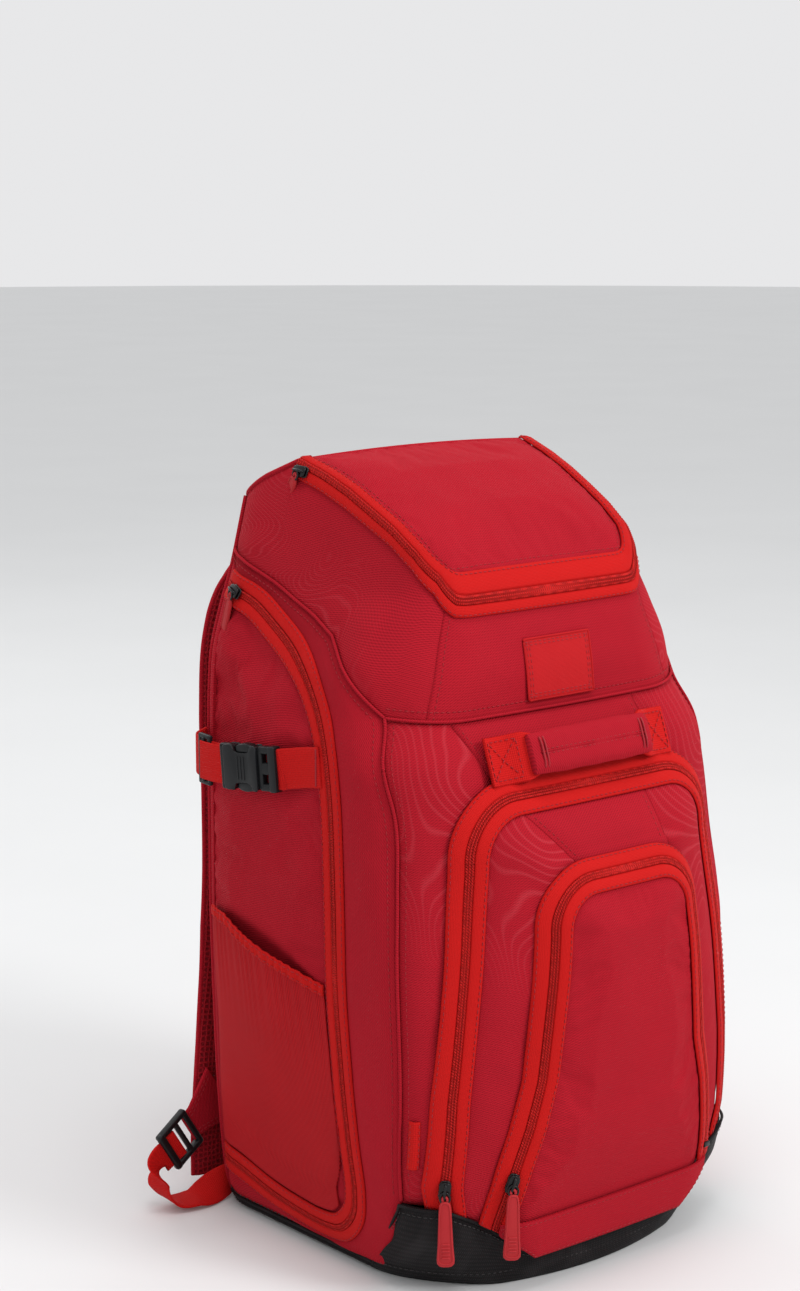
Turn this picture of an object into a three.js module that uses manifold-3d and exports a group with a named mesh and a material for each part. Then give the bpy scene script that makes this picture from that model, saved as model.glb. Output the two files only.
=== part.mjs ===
import * as THREE from 'three';
import Module from 'manifold-3d';

// A backpack that carries two baseball bats behind its main compartment.
// Millimetres, +Z up, front towards -Y, the middle of the underside near the origin.

const wasm = await Module();
wasm.setup();

// Main sizes
const RIM_HEIGHT = 589; // rear edge of the lid above the floor
const HALF_WIDTH = 167; // widest place of the sides, from the middle
const FRONT_DEPTH = 131; // front wall, ahead of the origin
const REAR_DEPTH = 134; // back wall, behind the origin
const CLEARANCE = 0.3; // between pieces that touch

// Cloth and padding
const PANEL = 3; // padded body cloth
const TAPE = 2; // zipper tape
const STRETCH = 1.4; // side pocket cloth
const LID_CROWN = 4; // rise of the lid between its side edges
const LID_ZIP = [13, 10]; // lid zipper down the wall, and inwards over the top
const BOOT_FLOOR = 3;

// Zippers
const BAND = 23; // zipper with both tapes
const SLIDER = [9, 15, 5]; // across, along, high
const PULL = [13, 56, 3];

// Bat compartment
const SLEEVE_WALL_Y = 60.5; // middle of the wall between bats and main compartment
const SLEEVE_WALL = 3;
const DIVIDER = 2.4;

// Front pockets
const LARGE_TOP = 375; // outer edge of the zipper band
const LARGE_RADIUS = 55;
const LARGE_DEPTH = 33; // front of the pocket ahead of the body
const LARGE_SLOPE = 70; // width of the sloping border
const SMALL_TOP = 318;
const SMALL_RADIUS = 48;
const SMALL_DEPTH = 15;
const SMALL_SLOPE = 34;

// Handle, patch, tab and band on the front
const HANDLE_HALF = 88;
const HANDLE_WEBBING = [36, 2.6]; // wide, thick
const HANDLE_WAIST = 25; // width of the webbing inside the grip
const HANDLE_STANDOFF = 17;
const GRIP_HALF = 58;
const GRIP = [32, 11];
const HANDLE_HEIGHT = 386;
const PATCH = [64, 44, 1.4];
const PATCH_HEIGHT = 444;
const TAB = [5.4, 36, 1.6];
const TAB_HEIGHT = 120;
const BAND_PLATE = 2.2;

// Straps on the sides and the back
const GLOVE_WEBBING = [30, 2];
const GLOVE_SLACK = 16; // how far the slack strap bows off the door
const BUCKLE = [36, 34, 11]; // high, long half of the socket, thick
const PLUG_LENGTH = 22;
const ADJUSTER = [38, 16, 5];
const STRAP_WIDTH = 62;
const STRAP_THICKNESS = 11;
const STRAP_WEBBING = [25, 2];
const LOCK = [36, 34, 7];
const BACK_PAD = [210, 12, 416]; // wide, thick, high
const BACK_PAD_FOOT = 62;

// Shares of the depth and the height, turned to places
const depthAt = (share) => share * (share < 0 ? FRONT_DEPTH : REAR_DEPTH);
const heightAt = (share) => share * RIM_HEIGHT;

// Sections of the body: level is a share of the rim height, side, front and the radii
// are shares of the half width, nose and bow are shares of the front depth.
const BODY = table(['level', 'side', 'front', 'nose', 'bow', 'frontRadius', 'rearRadius'], [
  [0.000, 0.876, 0.835, 0.900, 0.060, 0.26, 0.22],
  [0.048, 0.934, 0.903, 0.950, 0.040, 0.22, 0.24],
  [0.161, 0.970, 0.964, 0.985, 0.015, 0.19, 0.24],
  [0.300, 0.990, 0.978, 0.988, 0.012, 0.19, 0.24],
  [0.413, 1.000, 0.985, 0.974, 0.012, 0.22, 0.24],
  [0.508, 1.000, 0.985, 0.935, 0.015, 0.30, 0.24],
  [0.601, 1.000, 0.982, 0.905, 0.020, 0.36, 0.24],
  [0.654, 0.998, 0.975, 0.862, 0.025, 0.37, 0.24],
  [0.705, 0.993, 0.955, 0.740, 0.030, 0.44, 0.24],
  [0.756, 0.976, 0.900, 0.712, 0.020, 0.44, 0.24],
  [0.806, 0.925, 0.775, 0.672, 0.015, 0.36, 0.24],
  [0.857, 0.862, 0.642, 0.640, 0.010, 0.23, 0.24],
  [0.946, 0.778, 0.575, 0.625, 0.010, 0.21, 0.24],
  [0.985, 0.738, 0.535, 0.620, 0.010, 0.20, 0.24],
  [1.050, 0.650, 0.480, 0.615, 0.010, 0.20, 0.24],
]);

// Sections of the base boot, whose front follows the pockets
const BOOT = table(['level', 'nose', 'bow', 'frontRadius'], [
  [0.000, 0.850, 0.300, 0.36],
  [0.045, 0.945, 0.207, 0.28],
  [0.085, 1.035, 0.117, 0.21],
  [0.161, 1.060, 0.092, 0.20],
]);

// Edge of the lid and of the open rear mouth, seen from the side
const RIM = [
  [1.50, 0.925], [1.00, 0.938], [0.84, 0.955], [0.67, 0.977], [0.463, 1.000], [0.246, 0.985],
  [0.067, 0.969], [-0.107, 0.950], [-0.282, 0.930], [-0.450, 0.905], [-0.573, 0.877],
  [-0.635, 0.850], [-0.700, 0.842], [-1.60, 0.842],
];
const LID_REAR = 0.463;

// Seams, seen from the side. All three meet at the front corner of the yoke.
const CORNER = [-0.542, 0.713];
const SHOULDER_SEAM = [
  CORNER, [-0.092, 0.798], [0.090, 0.817], [0.269, 0.832], [0.448, 0.849], [0.724, 0.871],
  [1.50, 0.912],
];
const FRONT_CORNER_SEAM = [
  CORNER, [-0.727, 0.601], [-0.778, 0.508], [-0.830, 0.400], [-0.850, 0.260],
  [-0.826, 0.127], [-0.800, -0.030],
];
const YOKE_SEAM = [CORNER, [-0.763, 0.706], [-1.60, 0.660]];

// Seam between the yoke and its printed side, seen from the front
const YOKE_SIDE = [[0.550, 0.850], [0.575, 0.833], [0.623, 0.793], [0.677, 0.745], [0.760, 0.670]];

// Teeth of the side door, seen from the side, from the top rear end round to the rear foot
const DOOR_COIL = [
  [0.815, 0.838], [0.567, 0.823], [0.366, 0.801], [0.112, 0.769], [-0.061, 0.735],
  [-0.198, 0.689], [-0.282, 0.618], [-0.321, 0.482], [-0.336, 0.355], [-0.374, 0.255],
  [-0.420, 0.166], [-0.436, 0.115], [-0.397, 0.080], [-0.260, 0.050], [-0.107, 0.043],
  [0.060, 0.044], [0.343, 0.052], [0.634, 0.068], [0.815, 0.075],
];
const DOOR_REAR = 0.806;
const BACK_SEAM = 0.881;

// Top of the boot on the sides and the corners, then across the front
const BOOT_SIDE = [[1.50, 0.016], [-0.62, 0.016], [-0.826, 0.127], [-0.92, 0.127]];
const BOOT_FRONT = [[0.443, 0.046], [0.629, 0.088], [0.707, 0.102], [0.838, 0.122], [1.2, 0.127]];

// Half width of the pockets' zipper teeth, as a share of the body's half width
const LARGE_LEGS = [
  [0.00, 0.760], [0.06, 0.780], [0.12, 0.818], [0.15, 0.840], [0.26, 0.820], [0.385, 0.769],
  [0.53, 0.700], [0.62, 0.670],
];
const SMALL_LEGS = [[0.00, 0.660], [0.10, 0.630], [0.17, 0.578], [0.28, 0.478], [0.385, 0.438], [0.48, 0.400]];
// How full the pockets are, by height, as a share of their depth
const LARGE_FILL = [[0.00, 0.45], [0.08, 0.50], [0.13, 0.58], [0.22, 0.78], [0.40, 0.93], [0.60, 1.00]];
const SMALL_FILL = [[0.00, 0.25], [0.09, 0.45], [0.13, 0.72], [0.22, 0.92], [0.42, 1.00], [0.60, 1.00]];

function table(columns, rows) {
  return rows.map((row) => Object.fromEntries(columns.map((name, i) => [name, row[i]])));
}

// Straight interpolation in a list of pairs
function between(pairs, x) {
  const rows = pairs[0][0] > pairs.at(-1)[0] ? [...pairs].reverse() : pairs;
  if (x <= rows[0][0]) return rows[0][1];
  for (let i = 1; i < rows.length; i += 1) {
    const [x0, y0] = rows[i - 1];
    const [x1, y1] = rows[i];
    if (x <= x1) return y0 + (y1 - y0) * (x - x0) / (x1 - x0);
  }
  return rows.at(-1)[1];
}

// Smooth interpolation of one column of a section table
function sample(rows, column, level) {
  const at = Math.min(Math.max(level, rows[0].level), rows.at(-1).level);
  let i = rows.findIndex((row) => row.level >= at);
  i = Math.max(i, 1);
  const slope = (k) => {
    const before = rows[Math.max(k - 1, 0)];
    const after = rows[Math.min(k + 1, rows.length - 1)];
    return (after[column] - before[column]) / (after.level - before.level);
  };
  const a = rows[i - 1];
  const b = rows[i];
  const span = b.level - a.level;
  const t = (at - a.level) / span;
  return a[column] * (1 + 2 * t) * (1 - t) ** 2 + slope(i - 1) * span * t * (1 - t) ** 2
    + b[column] * t * t * (3 - 2 * t) + slope(i) * span * t * t * (t - 1);
}

// Closed meshes: points that coincide are merged, and faces point outwards
function meshFrom(points, faces) {
  const index = new Map();
  const kept = [];
  const number = points.map((p) => {
    const key = p.map((v) => Math.round(v * 1000)).join();
    if (!index.has(key)) {
      index.set(key, kept.length);
      kept.push(p);
    }
    return index.get(key);
  });
  const triangles = faces.map((face) => face.map((i) => number[i]))
    .filter(([a, b, c]) => a !== b && b !== c && c !== a);
  let volume = 0;
  for (const [a, b, c] of triangles) {
    const [p, q, r] = [kept[a], kept[b], kept[c]];
    volume += p[0] * (q[1] * r[2] - q[2] * r[1]) + p[1] * (q[2] * r[0] - q[0] * r[2])
      + p[2] * (q[0] * r[1] - q[1] * r[0]);
  }
  const outward = volume < 0 ? triangles.map(([a, b, c]) => [a, c, b]) : triangles;
  return { points: kept, faces: outward };
}

const quad = (a, b, c, d) => [[a, b, c], [a, c, d]];

// Rings of equal count, joined and closed at both ends
function loft(rings) {
  const count = rings[0].length;
  const points = rings.flat();
  const faces = [];
  for (let r = 0; r + 1 < rings.length; r += 1) {
    for (let i = 0; i < count; i += 1) {
      const j = (i + 1) % count;
      const corners = [r * count + i, r * count + j, (r + 1) * count + j, (r + 1) * count + i];
      const mirrored = rings[r][i][0] + rings[r][j][0] < 0;
      faces.push(...quad(...(mirrored ? [...corners.slice(1), corners[0]] : corners)));
    }
  }
  for (const [ring, start] of [[rings[0], 0], [rings.at(-1), (rings.length - 1) * count]]) {
    const middle = [0, 1, 2].map((k) => ring.reduce((sum, p) => sum + p[k], 0) / count);
    points.push(middle);
    for (let i = 0; i < count; i += 1) {
      const a = start + i;
      const b = start + (i + 1) % count;
      faces.push(start === 0 ? [points.length - 1, b, a] : [points.length - 1, a, b]);
    }
  }
  return meshFrom(points, faces);
}

// A sheet from its outer grid of points and one step through its thickness.
// folded says that its last row closes on itself.
function sheet(rows, through, folded = false) {
  const width = rows[0].length;
  const front = rows.flat();
  const back = front.map((p, i) => p.map((v, k) => v + through(p, i)[k]));
  const size = front.length;
  const faces = [];
  for (let r = 0; r + 1 < rows.length; r += 1) {
    for (let c = 0; c + 1 < width; c += 1) {
      const a = r * width + c;
      faces.push(...quad(a, a + 1, a + width + 1, a + width));
      faces.push(...quad(a + size + width, a + size + width + 1, a + size + 1, a + size));
    }
  }
  const wall = (a, b) => faces.push(...quad(b, a, a + size, b + size));
  for (let c = 0; c + 1 < width; c += 1) {
    wall(c, c + 1);
    if (!folded) wall((rows.length - 1) * width + c + 1, (rows.length - 1) * width + c);
  }
  for (let r = 0; r + 1 < rows.length; r += 1) {
    wall((r + 1) * width, r * width);
    wall(r * width + width - 1, (r + 1) * width + width - 1);
  }
  return meshFrom([...front, ...back], faces);
}

function toSolid(mesh) {
  return new wasm.Manifold(new wasm.Mesh({
    numProp: 3,
    vertProperties: new Float32Array(mesh.points.flat()),
    triVerts: new Uint32Array(mesh.faces.flat()),
  }));
}

function toGeometry(solid) {
  const { vertProperties, triVerts, numProp } = solid.getMesh();
  const geometry = new THREE.BufferGeometry();
  const positions = new Float32Array(vertProperties.length / numProp * 3);
  for (let i = 0; i < positions.length / 3; i += 1) {
    for (let k = 0; k < 3; k += 1) positions[i * 3 + k] = vertProperties[i * numProp + k];
  }
  geometry.setAttribute('position', new THREE.BufferAttribute(positions, 3));
  geometry.setIndex(new THREE.BufferAttribute(new Uint32Array(triVerts), 1));
  return geometry;
}

// Any closed three.js geometry as points and faces
function fromGeometry(geometry) {
  const position = geometry.getAttribute('position');
  const points = [];
  for (let i = 0; i < position.count; i += 1) {
    points.push([position.getX(i), position.getY(i), position.getZ(i)]);
  }
  const order = geometry.index ? [...geometry.index.array] : points.map((p, i) => i);
  const faces = [];
  for (let i = 0; i < order.length; i += 3) faces.push(order.slice(i, i + 3));
  return meshFrom(points, faces);
}

const REACH = 4 * HALF_WIDTH;

// An outline pushed through the body: across it, along it or upwards
function prismAcross(outline) {
  const shape = new THREE.Shape(outline.map(([y, z]) => new THREE.Vector2(y, z)));
  const geometry = new THREE.ExtrudeGeometry(shape, { depth: 2 * REACH, bevelEnabled: false });
  geometry.translate(0, 0, -REACH);
  geometry.applyMatrix4(new THREE.Matrix4().makeBasis(
    new THREE.Vector3(0, 1, 0), new THREE.Vector3(0, 0, 1), new THREE.Vector3(1, 0, 0)));
  return toSolid(fromGeometry(geometry));
}

function prismAlong(outline, from, to) {
  const shape = new THREE.Shape(outline.map(([x, z]) => new THREE.Vector2(x, z)));
  const geometry = new THREE.ExtrudeGeometry(shape, { depth: to - from, bevelEnabled: false });
  geometry.applyMatrix4(new THREE.Matrix4().makeBasis(
    new THREE.Vector3(1, 0, 0), new THREE.Vector3(0, 0, 1), new THREE.Vector3(0, -1, 0)));
  geometry.translate(0, to, 0);
  return toSolid(fromGeometry(geometry));
}

function block(low, high) {
  const size = high.map((v, i) => v - low[i]);
  const geometry = new THREE.BoxGeometry(...size);
  geometry.translate(...low.map((v, i) => v + size[i] / 2));
  return toSolid(fromGeometry(geometry));
}

const placed = (pairs) => pairs.map(([y, z]) => [depthAt(y), heightAt(z)]);
const moved = (pairs, dy, dz) => pairs.map(([y, z]) => [y + dy, z + dz]);
const half = CLEARANCE / 2;

// A line moved sideways by a distance, to its left when the distance is positive
function offset(line, distance) {
  return line.map((p, i) => {
    const before = line[Math.max(i - 1, 0)];
    const after = line[Math.min(i + 1, line.length - 1)];
    const normals = [[before, p], [p, after]].filter(([a, b]) => a !== b).map(([a, b]) => {
      const length = Math.hypot(b[0] - a[0], b[1] - a[1]);
      return [-(b[1] - a[1]) / length, (b[0] - a[0]) / length];
    });
    const sum = normals.reduce((s, n) => [s[0] + n[0] / normals.length, s[1] + n[1] / normals.length], [0, 0]);
    const scale = distance / Math.max(sum[0] ** 2 + sum[1] ** 2, 0.5);
    return [p[0] + sum[0] * scale, p[1] + sum[1] * scale];
  });
}

// Plan outline of the body at one height, drawn inwards by inset
const ARC_STEPS = 4;
function planOutline(z, inset, boot = false) {
  const level = z / RIM_HEIGHT;
  const body = (column) => sample(BODY, column, level);
  const shape = (column) => (boot ? sample(BOOT, column, level) : body(column));
  const side = body('side') * HALF_WIDTH - inset;
  const front = body('front') * HALF_WIDTH - inset;
  const nose = -(shape('nose') * FRONT_DEPTH - inset);
  const bow = shape('bow') * FRONT_DEPTH;
  const frontRadius = Math.max(shape('frontRadius') * HALF_WIDTH - inset, 1);
  const rearRadius = Math.max(body('rearRadius') * HALF_WIDTH - inset, 1);
  const rear = REAR_DEPTH - inset;
  const corner = (cx, cy, radius, fromAngle, toAngle) => {
    const arc = [];
    for (let i = 0; i <= ARC_STEPS; i += 1) {
      const a = fromAngle + (toAngle - fromAngle) * i / ARC_STEPS;
      arc.push([cx + radius * Math.cos(a), cy + radius * Math.sin(a)]);
    }
    return arc;
  };
  const taper = Math.atan2(side - front, rear - nose);
  const rearArc = corner(side - rearRadius, rear - rearRadius, rearRadius, -taper, Math.PI / 2);
  const frontArc = corner(front + Math.tan(taper) * frontRadius - frontRadius, nose + frontRadius,
    frontRadius, -Math.PI / 2, -taper);
  const mirror = (arc) => arc.map(([x, y]) => [-x, y]).reverse();
  const along = (a, b, steps) => Array.from({ length: steps - 1 }, (unused, i) => {
    const t = (i + 1) / steps;
    return [a[0] + (b[0] - a[0]) * t, a[1] + (b[1] - a[1]) * t];
  });
  const leftFront = mirror(frontArc);
  const loop = [
    ...frontArc, ...along(frontArc.at(-1), rearArc[0], 2), ...rearArc, ...mirror(rearArc),
    ...along(mirror(rearArc).at(-1), leftFront[0], 2), ...leftFront,
    ...along(leftFront.at(-1), frontArc[0], 6),
  ];
  return loop.map(([x, y]) => {
    const share = Math.max(0, 1 - (x / front) ** 2);
    return [x, y < 0 ? y - bow * share * Math.min(1, y / nose) ** 4 : y];
  });
}

// Where an outline of the faceted body meets a straight line, on the right side or at the front
function crossing(outline, axis, value, best) {
  let found = null;
  outline.forEach((a, i) => {
    const b = outline[(i + 1) % outline.length];
    if ((a[axis] - value) * (b[axis] - value) > 0 || a[axis] === b[axis]) return;
    const t = (value - a[axis]) / (b[axis] - a[axis]);
    const other = a[1 - axis] + (b[1 - axis] - a[1 - axis]) * t;
    if (found === null || best(other, found)) found = other;
  });
  return found;
}
const outlineCache = new Map();
function cachedOutline(z, boot) {
  const key = `${z.toFixed(2)} ${boot}`;
  if (!outlineCache.has(key)) {
    const levels = (boot ? BOOT_LEVELS : BODY_LEVELS).map(heightAt);
    const i = levels.findIndex((level, k) => k > 0 && (level >= z || k === levels.length - 1));
    const t = Math.min(Math.max((z - levels[i - 1]) / (levels[i] - levels[i - 1]), 0), 1);
    const upper = planOutline(levels[i], 0, boot);
    outlineCache.set(key, planOutline(levels[i - 1], 0, boot)
      .map(([x, y], k) => [x + (upper[k][0] - x) * t, y + (upper[k][1] - y) * t]));
  }
  return outlineCache.get(key);
}
const frontAt = (x, z, boot = false) => crossing(cachedOutline(z, boot), 0, x, (a, b) => a < b);
const sideAt = (y, z) => crossing(cachedOutline(z, false), 1, y, (a, b) => a > b);

const BODY_LEVELS = [
  0, 0.048, 0.13, 0.27, 0.413, 0.508, 0.601, 0.654, 0.705, 0.756, 0.806, 0.86, 0.92, 0.985, 1.05,
];
const BOOT_LEVELS = [0, 0.03, 0.06, 0.1, 0.161];

function bodySolid(inset, floor = 0) {
  const rings = BODY_LEVELS.map((level) => {
    const z = Math.max(heightAt(level), floor);
    return planOutline(z, inset).map(([x, y]) => [x, y, z]);
  });
  return toSolid(loft(rings));
}

function bootSolid(inset, floor) {
  const rings = BOOT_LEVELS.map((level) => {
    const z = Math.max(heightAt(level), floor);
    return planOutline(z, inset, true).map(([x, y]) => [x, y, z + (level === 0.161 ? inset : 0)]);
  });
  return toSolid(loft(rings));
}

const rim = placed(RIM);
const rimAt = (y) => between(rim, y);
const lidRear = depthAt(LID_REAR);

// Everything below the lid's surface, moved down by drop
function underLid(drop) {
  const xs = [-4, -0.74, -0.5, -0.25, 0, 0.25, 0.5, 0.74, 4].map((s) => s * HALF_WIDTH);
  const ys = rim.map(([y]) => y).sort((a, b) => a - b);
  const rows = ys.map((y) => xs.map((x) => {
    const crown = LID_CROWN * Math.max(0, 1 - (x / (0.74 * HALF_WIDTH)) ** 2);
    return [x, y, rimAt(y) + crown - drop];
  }));
  return toSolid(sheet(rows, (p) => [0, 0, -p[2] - REACH / 4]));
}

const outer = bodySolid(0);
const shell = outer.subtract(bodySolid(PANEL));
const tapeShell = outer.subtract(bodySolid(TAPE));

// Regions that the seams cut out, seen from the side
const shoulderSeam = placed(SHOULDER_SEAM);
const cornerSeam = placed(FRONT_CORNER_SEAM);
const yokeSeam = placed(YOKE_SEAM);
const far = REACH / 2;
const sideRegion = prismAcross([
  ...moved(cornerSeam, half, 0).reverse(), ...moved(shoulderSeam, half, -half).slice(1),
  [far, heightAt(0.92)], [far, -far],
]);
const frontRegion = prismAcross([
  ...moved(yokeSeam, -half, -half).reverse(), ...moved(cornerSeam, -half, 0).slice(1), [-far, -far],
]);
const lidZipFoot = rim.filter(([y]) => y <= lidRear).map(([y, z]) => [y, z - LID_ZIP[0]]);
const mouthRim = rim.filter(([y]) => y >= lidRear);
const upperRegion = prismAcross([
  ...moved(yokeSeam, 0, half).reverse(), ...moved(shoulderSeam, 0, half).slice(1),
  ...mouthRim.slice(0, -1), [lidRear + half, mouthRim.at(-1)[1]],
  ...moved(lidZipFoot, half, -half),
]);

// The boot and what lies above it
function bootRegion(rise) {
  const side = prismAcross([...moved(placed(BOOT_SIDE), 0, rise), [depthAt(-0.92), -far], [depthAt(1.5), -far]]);
  const right = BOOT_FRONT.map(([x, z]) => [x * HALF_WIDTH, heightAt(z) + rise]);
  const left = right.map(([x, z]) => [-x, z]).reverse();
  const front = prismAlong([...left, ...right, [far, -far], [-far, -far]], -far, depthAt(-0.9199));
  return side.add(front);
}
const aboveBoot = bootRegion(half);
const belowBoot = bootRegion(-half);
const bootOuter = bootSolid(0, 0);
const boot = bootOuter.subtract(bootSolid(PANEL, BOOT_FLOOR)).intersect(belowBoot);

// Zipper of the side door
const doorCoil = placed(DOOR_COIL);
const doorRear = depthAt(DOOR_REAR);
const frontOfDoorRear = (gap) => block([-REACH, -REACH, -REACH], [REACH, doorRear - gap, REACH]);
function doorBand(width) {
  return prismAcross([...offset(doorCoil, width / 2), ...offset(doorCoil, -width / 2).reverse()]);
}
const doorRegion = prismAcross(doorCoil);
const rightHalf = block([half, -REACH, -REACH], [REACH, REACH, REACH]);
const doorHole = doorRegion.add(doorBand(BAND)).intersect(frontOfDoorRear(0));
const sideShell = shell.intersect(sideRegion).subtract(aboveBoot);
const backRegion = block([-REACH, depthAt(BACK_SEAM) + half, -REACH], [REACH, REACH, REACH]);
const behindBackSeam = block([-REACH, depthAt(BACK_SEAM) - half, -REACH], [REACH, REACH, REACH]);
const backPanel = shell.subtract(aboveBoot).intersect(backRegion).intersect(prismAcross([
  [-far, -far], [far, -far], [far, rimAt(REAR_DEPTH)], ...mouthRim, [-far, rimAt(lidRear)],
]));
const sidePanel = sideShell.intersect(rightHalf).subtract(doorHole).subtract(behindBackSeam);
const sideZip = tapeShell.intersect(rightHalf).intersect(doorBand(BAND - CLEARANCE))
  .intersect(frontOfDoorRear(CLEARANCE)).subtract(aboveBoot);
const sideDoor = shell.intersect(rightHalf).intersect(doorRegion)
  .subtract(doorBand(BAND + CLEARANCE)).intersect(frontOfDoorRear(CLEARANCE));

// Panels above the seams
const upperShell = shell.intersect(upperRegion).subtract(behindBackSeam);
const yokeOutline = YOKE_SIDE.map(([x, z]) => [x * HALF_WIDTH, heightAt(z)]);
function yokeRegion(widen) {
  const right = yokeOutline.map(([x, z]) => [x + widen, z]);
  const left = right.map(([x, z]) => [-x, z]).reverse();
  const top = [[-right[0][0], REACH], [right[0][0], REACH]];
  return prismAlong([...top, ...right, ...left].reverse(), -far, 0);
}
const yoke = upperShell.intersect(yokeRegion(-half));
const shoulder = upperShell.subtract(yokeRegion(half)).intersect(rightHalf);

// Lid and its zipper, which turns over the top edge
const lidZone = block([-REACH, -REACH, -REACH], [REACH, lidRear - CLEARANCE, REACH]);
const capped = (thickness) => outer.intersect(underLid(0))
  .subtract(bodySolid(thickness).intersect(underLid(thickness))).intersect(lidZone);
const belowLidZip = prismAcross([
  ...rim.map(([y, z]) => [y, z - LID_ZIP[0] + half]), [-far, -far], [far, -far],
]);
const lidZip = capped(TAPE).subtract(belowLidZip).subtract(bodySolid(LID_ZIP[1]));
const lid = capped(PANEL).intersect(bodySolid(LID_ZIP[1] + CLEARANCE)).subtract(belowLidZip);

// Walls of the bat compartment
const sleeveWall = bodySolid(PANEL + 2 * CLEARANCE).intersect(underLid(PANEL + 2 * CLEARANCE))
  .intersect(block([-REACH, SLEEVE_WALL_Y - SLEEVE_WALL / 2, BOOT_FLOOR + CLEARANCE],
    [REACH, SLEEVE_WALL_Y + SLEEVE_WALL / 2, REACH]));
const divider = bodySolid(PANEL + CLEARANCE).intersect(
  block([-DIVIDER / 2, SLEEVE_WALL_Y + SLEEVE_WALL / 2 + CLEARANCE, BOOT_FLOOR + CLEARANCE],
    [DIVIDER / 2, REACH, heightAt(0.94)]));

// Front panel, from the yoke seam to the boot
const frontPanel = shell.intersect(frontRegion).subtract(aboveBoot);

// Arched pockets. A ring is the arch drawn inwards by a distance.
const LEG_STEPS = 7;
const TURN_STEPS = 4;
function archRing(arch, inward) {
  const radius = Math.max(arch.radius - inward, 3);
  const turnTop = arch.top - inward - radius;
  const turnX = arch.halfAt(arch.top - arch.radius) - inward - radius;
  const right = [];
  for (let i = 0; i < LEG_STEPS; i += 1) {
    const z = arch.foot + (turnTop - arch.foot) * i / LEG_STEPS;
    right.push([Math.max(arch.halfAt(z) - inward, 0), z]);
  }
  for (let i = 0; i <= TURN_STEPS; i += 1) {
    const a = Math.PI / 2 * i / TURN_STEPS;
    right.push([turnX + radius * Math.cos(a), turnTop + radius * Math.sin(a)]);
  }
  right.push([turnX / 2, turnTop + radius]);
  const left = right.map(([x, z]) => [-x, z]).reverse();
  return [...right, [0, turnTop + radius], ...left];
}
function archInset(arch, x, z) {
  const across = Math.abs(x);
  const turnTop = arch.top - arch.radius;
  const turnX = arch.halfAt(turnTop) - arch.radius;
  if (z > turnTop && across > turnX) return arch.radius - Math.hypot(across - turnX, z - turnTop);
  return z > turnTop ? Math.min(arch.top - z, arch.radius) : arch.halfAt(z) - across;
}
const swell = (inset, slope) => 1 - (1 - Math.min(Math.max(inset / slope, 0), 1)) ** 1.6;
const legs = (pairs) => (z) => between(pairs, z / RIM_HEIGHT) * HALF_WIDTH + BAND / 2;
const POCKET_FOOT = heightAt(0.03);
const largeArch = { top: LARGE_TOP, radius: LARGE_RADIUS, foot: POCKET_FOOT, halfAt: legs(LARGE_LEGS) };
const smallArch = { top: SMALL_TOP, radius: SMALL_RADIUS, foot: POCKET_FOOT, halfAt: legs(SMALL_LEGS) };
const largeFront = (x, z) => {
  const full = LARGE_DEPTH * between(LARGE_FILL, z / RIM_HEIGHT);
  return frontAt(x, z) - 6 * CLEARANCE - TAPE - full * swell(archInset(largeArch, x, z), LARGE_SLOPE);
};
const smallFront = (x, z) => {
  const full = SMALL_DEPTH * between(SMALL_FILL, z / RIM_HEIGHT);
  return largeFront(x, z) - 2 * CLEARANCE - TAPE - full * swell(archInset(smallArch, x, z), SMALL_SLOPE);
};
// One strip of a pocket between insets. A closed one goes on to the middle.
function pocketStrip(arch, front, insets, thickness, closed = false) {
  const rows = insets.map((inset) => archRing(arch, inset).map(([x, z]) => [x, front(x, z), z]));
  if (closed) {
    const inner = archRing(arch, insets.at(-1));
    const end = arch.foot + (inner[0][1] + inner[LEG_STEPS][1] - 2 * arch.foot) * 0.62;
    rows.push(inner.map(([, z]) => {
      const height = Math.min(z, end);
      return [0, front(0, height), height];
    }));
  }
  return toSolid(sheet(rows, () => [0, thickness, 0], closed)).subtract(aboveBoot);
}
const bandInsets = [0, BAND / 2, BAND];
const largeZip = pocketStrip(largeArch, largeFront, bandInsets, TAPE);
const largePocket = pocketStrip(largeArch, largeFront, [BAND + CLEARANCE, 38, 54, LARGE_SLOPE, 92], PANEL, true);
const smallZip = pocketStrip(smallArch, smallFront, bandInsets, TAPE);
const smallPocket = pocketStrip(smallArch, smallFront, [BAND + CLEARANCE, SMALL_SLOPE, 52, 68], PANEL, true);

// Plain band across the foot of the pockets
const BAND_SHAPE = [[0.043, 0.443], [0.058, 0.510], [0.070, 0.570], [0.083, 0.629], [0.097, 0.629]];
const BAND_OFF = 7 * CLEARANCE;
const bandRows = BAND_SHAPE.map(([level, across]) => {
  const z = heightAt(level);
  const steps = 8;
  return Array.from({ length: steps + 1 }, (unused, i) => {
    const x = across * HALF_WIDTH * (2 * i / steps - 1);
    const behind = Math.min(smallFront(x, z), frontAt(x, z, true));
    return [x, behind - BAND_OFF - BAND_PLATE, z];
  });
});
const lowerBand = toSolid(sheet(bandRows, () => [0, BAND_PLATE, 0]));

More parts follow.
